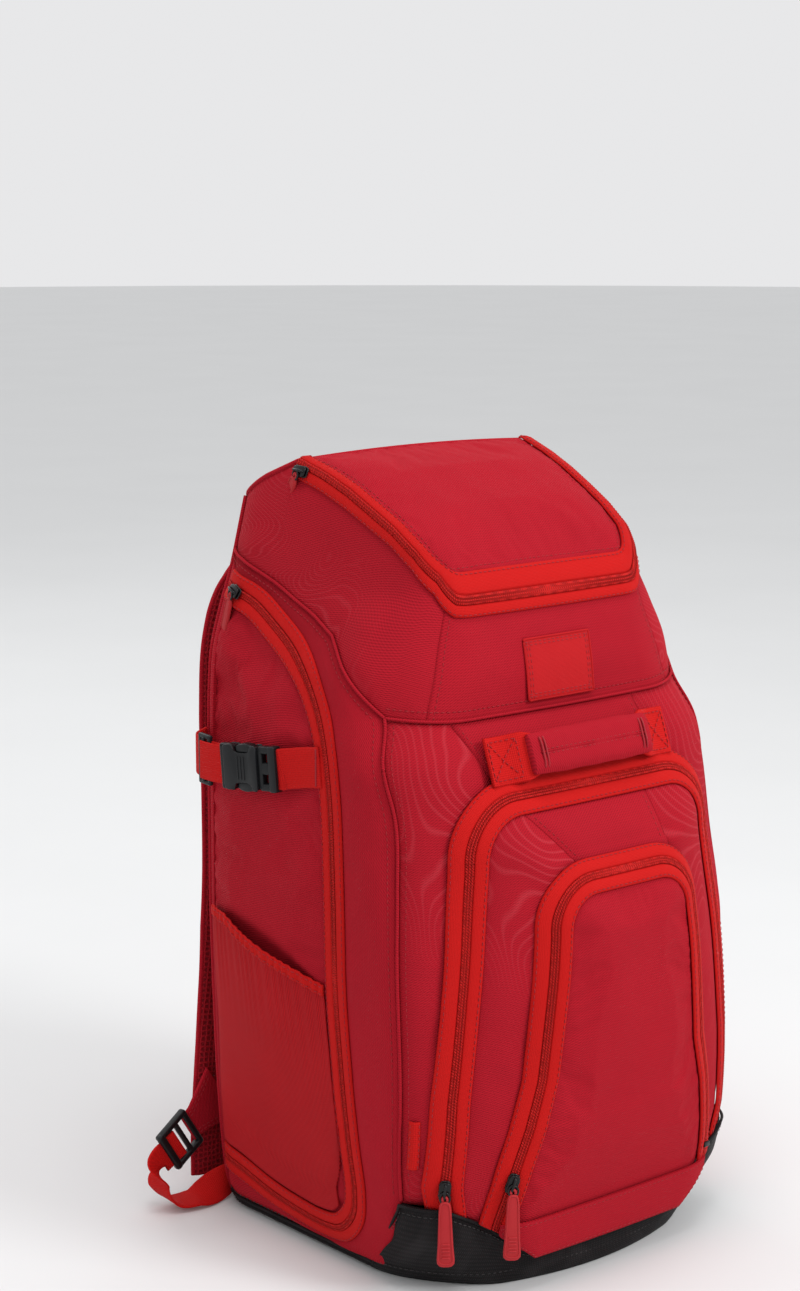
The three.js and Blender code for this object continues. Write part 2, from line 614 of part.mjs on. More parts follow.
// Flat or padded strips swept along a curve of points
const vector = (p) => new THREE.Vector3(...p);
function strip({ points, across, width, thickness, steps, section = FLAT, widths = null }) {
  const curve = new THREE.CatmullRomCurve3(points.map(vector), false, 'centripetal');
  const turn = new THREE.CatmullRomCurve3(across.map(vector), false, 'catmullrom');
  const rings = [];
  for (let i = 0; i <= steps; i += 1) {
    const t = i / steps;
    const centre = curve.getPoint(t);
    const tangent = curve.getTangent(t);
    const side = turn.getPoint(t);
    side.addScaledVector(tangent, -side.dot(tangent)).normalize();
    const out = new THREE.Vector3().crossVectors(tangent, side);
    const wide = widths ? between(widths, t) : width;
    rings.push(section.map(([a, b]) => centre.clone().addScaledVector(side, a * wide / 2)
      .addScaledVector(out, b * thickness / 2).toArray()));
  }
  return loft(rings);
}
const FLAT = [[-1, -1], [1, -1], [1, 1], [-1, 1]];
const PADDED = [
  [-1, 0], [-0.88, -0.85], [0, -1], [0.88, -0.85], [1, 0], [0.88, 0.85], [0, 1], [-0.88, 0.85],
];

// A flat piece with a rounded outline, set down with its length and its face given
function roundedPlate([width, length, thickness], radius) {
  const shape = new THREE.Shape();
  const [x, y] = [width / 2, length / 2];
  shape.moveTo(-x + radius, -y);
  shape.lineTo(x - radius, -y);
  shape.absarc(x - radius, -y + radius, radius, -Math.PI / 2, 0);
  shape.lineTo(x, y - radius);
  shape.absarc(x - radius, y - radius, radius, 0, Math.PI / 2);
  shape.lineTo(-x + radius, y);
  shape.absarc(-x + radius, y - radius, radius, Math.PI / 2, Math.PI);
  shape.lineTo(-x, -y + radius);
  shape.absarc(-x + radius, -y + radius, radius, Math.PI, 1.5 * Math.PI);
  return new THREE.ExtrudeGeometry(shape, { depth: thickness, bevelEnabled: false, curveSegments: 1 });
}
function set(geometry, at, along, out) {
  const y = vector(along).normalize();
  const z = vector(out).addScaledVector(y, -vector(out).dot(y)).normalize();
  const x = new THREE.Vector3().crossVectors(y, z);
  const matrix = new THREE.Matrix4().makeBasis(x, y, z).setPosition(...at);
  return fromGeometry(geometry.clone().applyMatrix4(matrix));
}

// A slider on the teeth, and the pull that hangs from it
const pullPlate = roundedPlate(PULL, 3);
pullPlate.translate(0, -PULL[1] / 2, 0);
const SLIDER_SEAT = 2 * CLEARANCE;
function sliderAndPull(at, along, out, hang, lift = SLIDER_SEAT) {
  const face = vector(out).normalize();
  const seat = vector(at).addScaledVector(face, lift);
  const inPlane = (direction) => {
    const v = vector(direction);
    return v.addScaledVector(face, -v.dot(face)).normalize();
  };
  const slider = set(roundedPlate(SLIDER, 3), seat.toArray(), inPlane(along).toArray(), out);
  const hook = seat.clone().addScaledVector(face, SLIDER[2] + CLEARANCE);
  const down = inPlane(hang).addScaledVector(face, 0.04).normalize();
  const pull = set(pullPlate, hook.toArray(), down.clone().negate().toArray(), out);
  return { slider, pull };
}
function outwardAt(y, z) {
  const step = 4;
  const alongY = vector([sideAt(y + step, z) - sideAt(y - step, z), 2 * step, 0]);
  const alongZ = vector([sideAt(y, z + step) - sideAt(y, z - step), 0, 2 * step]);
  return alongY.cross(alongZ).normalize().toArray();
}

const doorSliderY = depthAt(0.690);
const doorSliderZ = heightAt(0.8305);
const doorSlider = sliderAndPull([sideAt(doorSliderY, doorSliderZ), doorSliderY, doorSliderZ],
  [0, depthAt(0.815) - doorSliderY, heightAt(0.838) - doorSliderZ], outwardAt(doorSliderY, doorSliderZ),
  [0, 0.30, -0.94]);

const lidSliderY = depthAt(0.41);
const lidSliderZ = rimAt(lidSliderY) - LID_ZIP[0] / 2;
const lidSlider = sliderAndPull([sideAt(lidSliderY, lidSliderZ), lidSliderY, lidSliderZ],
  [0, 1, 0.05], outwardAt(lidSliderY, lidSliderZ), [0, 0.50, -0.86]);

function pocketSlider(arch, front, z, lean, lift) {
  const x = -(arch.halfAt(z) - BAND / 2);
  const above = -(arch.halfAt(z + 30) - BAND / 2);
  const y = front(x, z);
  const slope = (front(x + 6, z) - front(x - 6, z)) / 12;
  return sliderAndPull([x, y, z], [above - x, front(above, z + 30) - y, 30], [slope, -1, 0],
    [lean, 0, -1], lift);
}
const largeSlider = pocketSlider(largeArch, largeFront, heightAt(0.150), 0.02, -0.7 * CLEARANCE);
const smallSlider = pocketSlider(smallArch, smallFront, heightAt(0.154), -0.02, SLIDER_SEAT);

// Haul handle, sewn flat at both ends and raised between them
const handleSlope = () => {
  const low = [frontAt(0, HANDLE_HEIGHT - 18), HANDLE_HEIGHT - 18];
  const high = [frontAt(0, HANDLE_HEIGHT + 18), HANDLE_HEIGHT + 18];
  return vector([0, low[1] - high[1], high[0] - low[0]]).normalize();
};
const handleOut = handleSlope();
const handleDown = new THREE.Vector3(1, 0, 0).cross(handleOut);
const onHandle = (x, standoff) => vector([x, frontAt(x, HANDLE_HEIGHT), HANDLE_HEIGHT])
  .addScaledVector(handleOut, standoff).toArray();
const flatOff = HANDLE_WEBBING[1] / 2 + TAPE + 9 * CLEARANCE;
const handlePoints = [
  [-1, flatOff], [-0.82, flatOff + 0.4], [-0.68, HANDLE_STANDOFF * 0.75], [-0.5, HANDLE_STANDOFF],
  [0, HANDLE_STANDOFF], [0.5, HANDLE_STANDOFF], [0.68, HANDLE_STANDOFF * 0.75],
  [0.82, flatOff + 0.4], [1, flatOff],
].map(([share, standoff]) => onHandle(share * HANDLE_HALF, standoff));
const acrossHandle = [handleDown.toArray(), handleDown.toArray()];
const handleWidths = (extra) => [0, 0.19, 0.27, 0.73, 0.81, 1].map((t, i) => (
  [t, (i > 1 && i < 4 ? HANDLE_WAIST : HANDLE_WEBBING[0]) + extra]));
const handle = strip({
  points: handlePoints, across: acrossHandle, widths: handleWidths(0), thickness: HANDLE_WEBBING[1], steps: 20,
});
const gripPoints = [-1, -0.5, 0, 0.5, 1].map((share) => onHandle(share * GRIP_HALF, HANDLE_STANDOFF));
const gripBore = strip({
  points: handlePoints, across: acrossHandle, widths: handleWidths(2 * CLEARANCE),
  thickness: HANDLE_WEBBING[1] + 2 * CLEARANCE, steps: 20,
});
const grip = toSolid(strip({
  points: gripPoints, across: acrossHandle, width: GRIP[0], thickness: GRIP[1], steps: 6, section: PADDED,
})).subtract(toSolid(gripBore));

// Patch on the yoke, and the folded tab in the corner seam
function laidSheet(columns, heights, thickness, standoff, at) {
  const rows = heights.map((z) => columns.map((x) => [x, at(x, z) - standoff - thickness, z]));
  return sheet(rows, () => [0, thickness, 0]);
}
const spread = (centre, size, steps) => Array.from({ length: steps + 1 }, (unused, i) => centre + size * (i / steps - 0.5));
const patch = laidSheet(spread(0, PATCH[0], 4), spread(PATCH_HEIGHT, PATCH[1], 3), PATCH[2], 2 * CLEARANCE, frontAt);
const tabEdge = -largeArch.halfAt(TAB_HEIGHT) - 5 * CLEARANCE;
const tab = laidSheet(spread(tabEdge - TAB[0] / 2, TAB[0], 4), spread(TAB_HEIGHT, TAB[1], 3), TAB[2], 2 * CLEARANCE, frontAt);

// Stretch pocket over the lower part of the door
const HEM = [[0.60, 0.415], [0.373, 0.401], [0.209, 0.391], [0.022, 0.380], [-0.221, 0.364]];
const doorInner = offset(doorCoil, BAND / 2 + 1.5);
const innerFrontAt = (z) => {
  const frontPart = doorInner.filter((p, i) => i >= 5 && i <= 13);
  return between(frontPart.map(([y, h]) => [h, y]), z);
};
const innerFootAt = (y) => between(doorInner.slice(12).map(([py, pz]) => [py, pz]), y);
const STRETCH_BULGE = 12.5;
const stretchRows = [];
for (let r = 0; r <= 6; r += 1) {
  const share = r / 6;
  stretchRows.push(Array.from({ length: 9 }, (unused, c) => {
    const across = c / 8;
    const rearY = doorRear - 3;
    const guess = innerFrontAt(heightAt(0.05) + share * heightAt(0.31));
    const y = guess + (rearY - guess) * across;
    const hem = between(placed(HEM), y);
    const foot = innerFootAt(y) + 1;
    const z = foot + (hem - foot) * share;
    const bulge = STRETCH_BULGE * Math.sin(Math.PI * across) * share ** 1.3;
    return [sideAt(y, z) + 5 * CLEARANCE + STRETCH + bulge, y, z];
  }));
}
const stretchPocket = sheet(stretchRows, () => [-STRETCH, 0, 0]);

// Slack strap that holds a glove, with its side release buckle and adjuster
const GLOVE_PATH = table(['place', 'height', 'slack'], [
  [-0.215, 0.645, 0.02], [-0.10, 0.641, 0.12], [0.09, 0.633, 0.50], [0.37, 0.627, 0.90],
  [0.60, 0.625, 1.00], [0.78, 0.625, 0.70], [0.90, 0.625, 0.05],
]);
const glovePoints = GLOVE_PATH.map(({ place, height, slack }) => {
  const [y, z] = [depthAt(place), heightAt(height)];
  const out = vector(outwardAt(Math.min(y, depthAt(0.86)), z));
  const lift = CLEARANCE + 0.6 + GLOVE_WEBBING[1] / 2 + slack * GLOVE_SLACK;
  return vector([sideAt(y, z), y, z]).addScaledVector(out, lift);
});
const gloveCurve = new THREE.CatmullRomCurve3(glovePoints, false, 'centripetal');
const gloveLength = gloveCurve.getLength();
const gloveAt = (distance) => gloveCurve.getPointAt(Math.min(Math.max(distance / gloveLength, 0), 1));
const gloveAlong = (distance) => gloveCurve.getTangentAt(Math.min(Math.max(distance / gloveLength, 0), 1));
const buckleMiddle = 0.375 * gloveLength;
const buckleLine = gloveAlong(buckleMiddle);
const onBuckle = (distance) => gloveAt(buckleMiddle).addScaledVector(buckleLine, distance);
function gloveHardware([high, long, thick], at, along, radius, lift = 0) {
  const out = along.clone().cross(new THREE.Vector3(0, 0, 1)).normalize();
  const seat = at.clone().addScaledVector(out, lift - thick / 2);
  return set(roundedPlate([high, long, thick], radius), seat.toArray(), along.toArray(), out.toArray());
}
function glovePiece(from, to, steps, ends = {}) {
  const points = Array.from({ length: steps + 1 }, (unused, i) => gloveAt(from + (to - from) * i / steps).toArray());
  if (ends.first) points.unshift(...ends.first.map((p) => p.toArray()));
  if (ends.last) points.push(...ends.last.map((p) => p.toArray()));
  return strip({
    points, across: [[0, 0, 1], [0, 0, 1]], width: GLOVE_WEBBING[0], thickness: GLOVE_WEBBING[1], steps: 2 * steps,
  });
}
const plugFar = PLUG_LENGTH + CLEARANCE;
const socketFar = BUCKLE[1] + CLEARANCE;
const gloveFront = glovePiece(0, buckleMiddle - plugFar - 8, 4,
  { last: [onBuckle(-plugFar - 3), onBuckle(-plugFar)] });
const gloveRear = glovePiece(buckleMiddle + socketFar + 8, gloveLength, 6,
  { first: [onBuckle(socketFar), onBuckle(socketFar + 3)] });
const glovePlug = gloveHardware([BUCKLE[0], PLUG_LENGTH - CLEARANCE, BUCKLE[2] - 2],
  onBuckle(-(PLUG_LENGTH + CLEARANCE) / 2), buckleLine, 3);
const gloveSocket = gloveHardware([BUCKLE[0] - 2, BUCKLE[1], BUCKLE[2]], onBuckle(BUCKLE[1] / 2), buckleLine, 5);
const adjusterAt = buckleMiddle + BUCKLE[1] + 22;
const gloveAdjuster = gloveHardware(ADJUSTER, gloveAt(adjusterAt), gloveAlong(adjusterAt), 2,
  GLOVE_WEBBING[1] / 2 + ADJUSTER[2] / 2 + 2 * CLEARANCE);

// Padded back and shoulder straps
const backPadShape = roundedPlate([BACK_PAD[0], BACK_PAD[2], BACK_PAD[1]], 28);
const backPad = set(backPadShape, [0, REAR_DEPTH + CLEARANCE, BACK_PAD_FOOT + BACK_PAD[2] / 2], [0, 0, 1], [0, 1, 0]);

// x as a share of the half width, y as the distance behind the back wall, z as a share of the rim height
const STRAP_PATH = table(['across', 'behind', 'height', 'turn'], [
  [0.430, 1.0, 0.850, 0.0], [0.430, 22, 0.850, 0.0], [0.510, 38, 0.812, 0.2], [0.575, 43, 0.745, 0.2],
  [0.600, 43, 0.650, 0.2], [0.615, 38, 0.530, 0.2], [0.640, 33, 0.415, 0.2], [0.690, 28, 0.310, 0.2],
  [0.745, 24, 0.225, 0.2], [0.790, 20, 0.140, 0.15], [0.815, 18, 0.075, 0.1], [0.825, 17, 0.022, 0.1],
]);
const strapPoints = STRAP_PATH.map(({ across, behind, height }) => [
  across * HALF_WIDTH, REAR_DEPTH + behind, heightAt(height)]);
const strap = strip({
  points: strapPoints, across: STRAP_PATH.map(({ turn }) => [1, -turn, 0.12]), width: STRAP_WIDTH,
  thickness: STRAP_THICKNESS, steps: 15, section: PADDED,
  widths: [[0, 0.82 * STRAP_WIDTH], [0.15, STRAP_WIDTH], [0.62, STRAP_WIDTH], [0.8, 0.82 * STRAP_WIDTH], [1, 0.74 * STRAP_WIDTH]],
});

// Ladder lock on a cloth wing beside the foot of the strap, and the webbing to the bag's corner
const wingRoot = [0.80 * HALF_WIDTH, REAR_DEPTH + 11.8, heightAt(0.135)];
const lockAt = [1.070 * HALF_WIDTH, REAR_DEPTH + 5.0, heightAt(0.088)];
const toLock = vector(lockAt).sub(vector(wingRoot)).normalize();
const lockFace = new THREE.Vector3(0, -1, 0).addScaledVector(toLock, toLock.y).normalize();
const wingEnd = vector(lockAt).addScaledVector(toLock, -LOCK[1] / 2 - CLEARANCE).toArray();
const wingSide = toLock.clone().cross(lockFace).toArray();
const wing = strip({
  points: [wingRoot, wingEnd], across: [wingSide, wingSide], width: 0, thickness: 2.4, steps: 6,
  widths: [[0, 2.1 * STRAP_WEBBING[0]], [0.85, LOCK[0] * 0.8], [1, LOCK[0] * 0.7]],
});
const lock = set(roundedPlate(LOCK, 4), vector(lockAt).addScaledVector(lockFace, -LOCK[2] / 2).toArray(),
  toLock.toArray(), lockFace.toArray());
const lockFoot = vector(lockAt).addScaledVector(toLock, LOCK[1] / 2 + CLEARANCE);
const WEBBING_PATH = table(['across', 'behind', 'height'], [
  [1.205, 1, 0.034], [1.150, -3, 0.012], [1.040, -7, 0.010], [0.940, -9, 0.018], [0.842, -9, 0.026],
]);
const webbingPoints = [lockFoot.toArray(), lockFoot.clone().addScaledVector(toLock, 8).toArray(), ...WEBBING_PATH.map(({ across, behind, height }) => [
  across * HALF_WIDTH, REAR_DEPTH + behind, heightAt(height)])];
const webbing = strip({
  points: webbingPoints, across: [wingSide, wingSide, [0.2, 0.95, 0.3], [0, 1, 0.05], [0, 1, 0.1], [0, 0.6, 0.8], [0, 0, 1]],
  width: STRAP_WEBBING[0], thickness: STRAP_WEBBING[1], steps: 17,
});

// Materials, by what each piece is made of
const look = (color, roughness, metalness = 0) => new THREE.MeshStandardMaterial({ color, roughness, metalness });
const LOOKS = {
  twill: look('#b3202f', 0.85),
  printed: look('#ad1f2e', 0.8),
  tape: look('#d2221f', 0.75),
  webbing: look('#cf2320', 0.8),
  stretch: look('#b01a22', 0.8),
  coated: look('#231f20', 0.5),
  rubber: look('#c42a30', 0.5),
  metal: look('#141414', 0.3, 0.8),
  plastic: look('#17181a', 0.4),
  mesh: look('#8f1c24', 0.9),
  lining: look('#7d1720', 0.9),
};

const bag = new THREE.Group();
function addSolid(name, geometry, finish) {
  const mesh = new THREE.Mesh(geometry, LOOKS[finish].clone());
  mesh.name = name;
  bag.add(mesh);
}
const meshGeometry = (piece) => toGeometry(piece.getMesh ? piece : toSolid(piece));
const add = (name, piece, finish) => addSolid(name, meshGeometry(piece), finish);
function addPair(name, piece, finish) {
  const geometry = meshGeometry(piece);
  addSolid(`${name}_right`, geometry, finish);
  const { points, faces } = fromGeometry(geometry);
  addSolid(`${name}_left`, meshGeometry(meshFrom(points.map(([x, y, z]) => [-x, y, z]), faces)), finish);
}

add('base_boot', boot, 'coated');
add('back_panel', backPanel, 'twill');
addPair('side_panel', sidePanel, 'twill');
addPair('side_door', sideDoor, 'twill');
addPair('side_door_zip', sideZip, 'tape');
addPair('side_door_slider', doorSlider.slider, 'metal');
addPair('side_door_pull', doorSlider.pull, 'rubber');
addPair('side_pocket', stretchPocket, 'stretch');
addPair('glove_strap_front', gloveFront, 'webbing');
addPair('glove_buckle_plug', glovePlug, 'plastic');
addPair('glove_buckle_socket', gloveSocket, 'plastic');
addPair('glove_strap_rear', gloveRear, 'webbing');
addPair('glove_strap_adjuster', gloveAdjuster, 'plastic');
add('front_panel', frontPanel, 'printed');
add('yoke', yoke, 'twill');
addPair('shoulder_panel', shoulder, 'printed');
add('lid', lid, 'twill');
add('lid_zip', lidZip, 'tape');
add('bat_sleeve_wall', sleeveWall, 'lining');
add('bat_sleeve_divider', divider, 'lining');
add('large_pocket', largePocket, 'twill');
add('large_pocket_zip', largeZip, 'tape');
add('large_pocket_slider', largeSlider.slider, 'metal');
add('large_pocket_pull', largeSlider.pull, 'rubber');
add('small_pocket', smallPocket, 'twill');
add('small_pocket_zip', smallZip, 'tape');
add('small_pocket_slider', smallSlider.slider, 'metal');
add('small_pocket_pull', smallSlider.pull, 'rubber');
add('lower_band', lowerBand, 'twill');
add('haul_handle', handle, 'webbing');
add('haul_handle_grip', grip, 'twill');
add('patch', patch, 'printed');
add('corner_tab', tab, 'webbing');
add('back_pad', backPad, 'mesh');
addPair('shoulder_strap', strap, 'twill');
addPair('strap_wing', wing, 'twill');
addPair('strap_ladder_lock', lock, 'plastic');
addPair('strap_webbing', webbing, 'webbing');

const lidHardware = { slider: lidSlider.slider, pull: lidSlider.pull };
for (const [part, finish] of [['slider', 'metal'], ['pull', 'rubber']]) {
  const { points, faces } = lidHardware[part];
  add(`lid_${part}`, meshFrom(points.map(([x, y, z]) => [-x, y, z]), faces), finish);
}

export default bag;
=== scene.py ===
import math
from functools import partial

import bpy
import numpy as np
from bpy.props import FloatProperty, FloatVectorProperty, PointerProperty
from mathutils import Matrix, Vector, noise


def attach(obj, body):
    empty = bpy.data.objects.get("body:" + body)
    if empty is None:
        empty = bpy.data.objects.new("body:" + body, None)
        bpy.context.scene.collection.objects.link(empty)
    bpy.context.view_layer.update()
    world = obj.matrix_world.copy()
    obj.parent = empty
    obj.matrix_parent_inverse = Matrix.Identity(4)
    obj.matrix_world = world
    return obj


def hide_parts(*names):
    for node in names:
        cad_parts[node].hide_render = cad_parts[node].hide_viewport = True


bl_info = {
    "name": "Baseball bat backpack",
    "version": (1, 0, 0),
    "blender": (4, 5, 0),
    "location": "View3D > Sidebar > Backpack",
    "description": "Dresses the backpack frame in padded cloth, zippers, webbing and hardware",
    "category": "Add Mesh",
}

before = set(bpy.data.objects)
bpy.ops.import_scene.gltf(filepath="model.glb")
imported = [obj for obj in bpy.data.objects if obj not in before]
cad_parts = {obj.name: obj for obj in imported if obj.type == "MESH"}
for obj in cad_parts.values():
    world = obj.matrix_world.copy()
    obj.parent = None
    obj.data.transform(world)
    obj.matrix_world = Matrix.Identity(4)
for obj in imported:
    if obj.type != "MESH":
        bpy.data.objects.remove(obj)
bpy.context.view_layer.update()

MM = 0.001

# Main sizes of the bag in millimetres, front towards -Y
RIM_HEIGHT = 589
HALF_WIDTH = 167
FRONT_DEPTH = 131
REAR_DEPTH = 134
BAND = 23  # zipper with both tapes
LID_WALL = 13  # part of the lid zipper that lies on the wall
LID_CROWN = 4
SLEEVE_WALL_Y = 60.5
LARGE_DEPTH = 33
LARGE_SLOPE = 70
SMALL_DEPTH = 15
SMALL_SLOPE = 34
HANDLE_HEIGHT = 386
HANDLE_HALF = 88
HANDLE_STANDOFF = 17
GRIP_HALF = 58
PATCH_SIZE = (64, 44)
PATCH_HEIGHT = 444
BACK_PAD = (210, 12, 416)
BACK_PAD_FOOT = 62

# Plan sections: level and the rest as shares of the main sizes
# level, side, front, nose, bow, front radius, rear radius
BODY = np.array([
    [0.000, 0.876, 0.835, 0.900, 0.060, 0.26, 0.22],
    [0.048, 0.934, 0.903, 0.950, 0.040, 0.22, 0.24],
    [0.161, 0.970, 0.964, 0.985, 0.015, 0.19, 0.24],
    [0.300, 0.990, 0.978, 0.988, 0.012, 0.19, 0.24],
    [0.413, 1.000, 0.985, 0.974, 0.012, 0.22, 0.24],
    [0.508, 1.000, 0.985, 0.935, 0.015, 0.30, 0.24],
    [0.601, 1.000, 0.982, 0.905, 0.020, 0.36, 0.24],
    [0.654, 0.998, 0.975, 0.862, 0.025, 0.37, 0.24],
    [0.705, 0.993, 0.955, 0.740, 0.030, 0.44, 0.24],
    [0.756, 0.976, 0.900, 0.712, 0.020, 0.44, 0.24],
    [0.806, 0.925, 0.775, 0.672, 0.015, 0.36, 0.24],
    [0.857, 0.862, 0.642, 0.640, 0.010, 0.23, 0.24],
    [0.946, 0.778, 0.575, 0.625, 0.010, 0.21, 0.24],
    [0.985, 0.738, 0.535, 0.620, 0.010, 0.20, 0.24],
    [1.050, 0.650, 0.480, 0.615, 0.010, 0.20, 0.24],
])
# level, nose, bow, front radius of the base boot
BOOT = np.array([
    [0.000, 0.850, 0.300, 0.36],
    [0.045, 0.945, 0.207, 0.28],
    [0.085, 1.035, 0.117, 0.21],
    [0.161, 1.060, 0.092, 0.20],
])
# Seams from the side, as shares of the depth and the height
RIM = [
    [1.50, 0.925], [1.00, 0.938], [0.84, 0.955], [0.67, 0.977], [0.463, 1.000], [0.246, 0.985],
    [0.067, 0.969], [-0.107, 0.950], [-0.282, 0.930], [-0.450, 0.905], [-0.573, 0.877],
    [-0.635, 0.850], [-0.700, 0.842], [-1.60, 0.842],
]
LID_REAR = 0.463
CORNER = [-0.542, 0.713]
SHOULDER_SEAM = [
    CORNER, [-0.092, 0.798], [0.090, 0.817], [0.269, 0.832], [0.448, 0.849], [0.724, 0.871],
    [1.50, 0.912],
]
CORNER_SEAM = [
    CORNER, [-0.727, 0.601], [-0.778, 0.508], [-0.830, 0.400], [-0.850, 0.260],
    [-0.826, 0.127], [-0.800, -0.030],
]
YOKE_SEAM = [CORNER, [-0.763, 0.706], [-1.60, 0.660]]
DOOR_COIL = [
    [0.815, 0.838], [0.567, 0.823], [0.366, 0.801], [0.112, 0.769], [-0.061, 0.735],
    [-0.198, 0.689], [-0.282, 0.618], [-0.321, 0.482], [-0.336, 0.355], [-0.374, 0.255],
    [-0.420, 0.166], [-0.436, 0.115], [-0.397, 0.080], [-0.260, 0.050], [-0.107, 0.043],
    [0.060, 0.044], [0.343, 0.052], [0.634, 0.068], [0.815, 0.075],
]
DOOR_REAR = 0.806
BACK_SEAM = 0.881
BOOT_SIDE = [[1.50, 0.016], [-0.62, 0.016], [-0.826, 0.127], [-0.92, 0.127]]
HEM = [[0.60, 0.415], [0.373, 0.401], [0.209, 0.391], [0.022, 0.380], [-0.221, 0.364]]
# Seams from the front, as shares of the half width and the height
YOKE_SIDE = [[0.550, 0.850], [0.575, 0.833], [0.623, 0.793], [0.677, 0.745], [0.760, 0.670]]
BOOT_FRONT = [[0.0, 0.046], [0.443, 0.046], [0.629, 0.088], [0.707, 0.102], [0.838, 0.122], [1.2, 0.127]]
# Pocket arches: height share and half width share, then how full they are by height
LARGE_LEGS = [
    [0.00, 0.760], [0.06, 0.780], [0.12, 0.818], [0.15, 0.840], [0.26, 0.820], [0.385, 0.769],
    [0.53, 0.700], [0.62, 0.670],
]
SMALL_LEGS = [[0.00, 0.660], [0.10, 0.630], [0.17, 0.578], [0.28, 0.478], [0.385, 0.438], [0.48, 0.400]]
LARGE_FILL = [[0.00, 0.45], [0.08, 0.50], [0.13, 0.58], [0.22, 0.78], [0.40, 0.93], [0.60, 1.00]]
SMALL_FILL = [[0.00, 0.25], [0.09, 0.45], [0.13, 0.72], [0.22, 0.92], [0.42, 1.00], [0.60, 1.00]]
BAND_SHAPE = [[0.043, 0.443], [0.058, 0.510], [0.070, 0.570], [0.083, 0.629], [0.097, 0.629]]
LARGE_ARCH = {"top": 375, "radius": 55, "legs": LARGE_LEGS}
SMALL_ARCH = {"top": 318, "radius": 48, "legs": SMALL_LEGS}
POCKET_FOOT = 0.03 * RIM_HEIGHT


def side_view(pairs):
    """Shares of depth and height as millimetres."""
    return np.array([[y * (FRONT_DEPTH if y < 0 else REAR_DEPTH), z * RIM_HEIGHT] for y, z in pairs])


def front_view(pairs):
    return np.array([[x * HALF_WIDTH, z * RIM_HEIGHT] for x, z in pairs])


def between(pairs, x):
    """Straight interpolation in a list of pairs, for a number or an array."""
    rows = np.array(sorted(np.asarray(pairs, float).tolist()))
    return np.interp(x, rows[:, 0], rows[:, 1])


def hermite(rows, column, level):
    """Smooth interpolation of one column, for an array of levels."""
    x, y = rows[:, 0], rows[:, column]
    at = np.clip(level, x[0], x[-1])
    i = np.clip(np.searchsorted(x, at), 1, len(x) - 1)
    before, after = np.maximum(np.arange(len(x)) - 1, 0), np.minimum(np.arange(len(x)) + 1, len(x) - 1)
    slope = (y[after] - y[before]) / (x[after] - x[before])
    span = x[i] - x[i - 1]
    t = (at - x[i - 1]) / span
    return (y[i - 1] * (1 + 2 * t) * (1 - t) ** 2 + slope[i - 1] * span * t * (1 - t) ** 2
            + y[i] * t * t * (3 - 2 * t) + slope[i] * span * t * t * (t - 1))


def smooth_path(points, count, closed=False):
    """Catmull-Rom curve through the points, resampled to even steps."""
    p = np.asarray(points, float)
    if closed:
        p = np.vstack([p, p[:1]])
    first = 2 * p[0] - p[1] if not closed else p[-2]
    last = 2 * p[-1] - p[-2] if not closed else p[1]
    q = np.vstack([first, p, last])
    out = []
    steps = 24
    for i in range(1, len(q) - 2):
        a, b, c, d = q[i - 1], q[i], q[i + 1], q[i + 2]
        knots = [0.0]
        for m, n in ((a, b), (b, c), (c, d)):
            knots.append(knots[-1] + max(np.linalg.norm(n - m), 1e-6) ** 0.5)
        t0, t1, t2, t3 = knots
        for s in range(steps):
            t = t1 + (t2 - t1) * s / steps
            a1 = (t1 - t) / (t1 - t0) * a + (t - t0) / (t1 - t0) * b
            a2 = (t2 - t) / (t2 - t1) * b + (t - t1) / (t2 - t1) * c
            a3 = (t3 - t) / (t3 - t2) * c + (t - t2) / (t3 - t2) * d
            b1 = (t2 - t) / (t2 - t0) * a1 + (t - t0) / (t2 - t0) * a2
            b2 = (t3 - t) / (t3 - t1) * a2 + (t - t1) / (t3 - t1) * a3
            out.append((t2 - t) / (t2 - t1) * b1 + (t - t1) / (t2 - t1) * b2)
    out.append(p[-1])
    return resample(np.array(out), count)


def lengths(path):
    return np.concatenate([[0], np.cumsum(np.linalg.norm(np.diff(path, axis=0), axis=1))])


def resample(path, count):
    """The same line in count evenly spaced points."""
    path = np.asarray(path, float)
    run = lengths(path)
    at = np.linspace(0, run[-1], count)
    return np.stack([np.interp(at, run, path[:, k]) for k in range(path.shape[1])], axis=1)


def part_of(path, start, end, count):
    """A stretch of a line between two shares of its length."""
    run = lengths(path)
    at = np.linspace(start, end, count) * run[-1]
    return np.stack([np.interp(at, run, path[:, k]) for k in range(path.shape[1])], axis=1)


def offset_line(line, distance):
    """A flat line moved to its left."""
    step = np.gradient(line, axis=0)
    step /= np.linalg.norm(step, axis=1, keepdims=True)
    return line + distance * np.stack([-step[:, 1], step[:, 0]], axis=1)


# Points along half an outline: front run, front arc, side run, rear arc, rear run
OUTLINE_RUNS = (30, 26, 44, 22, 20)


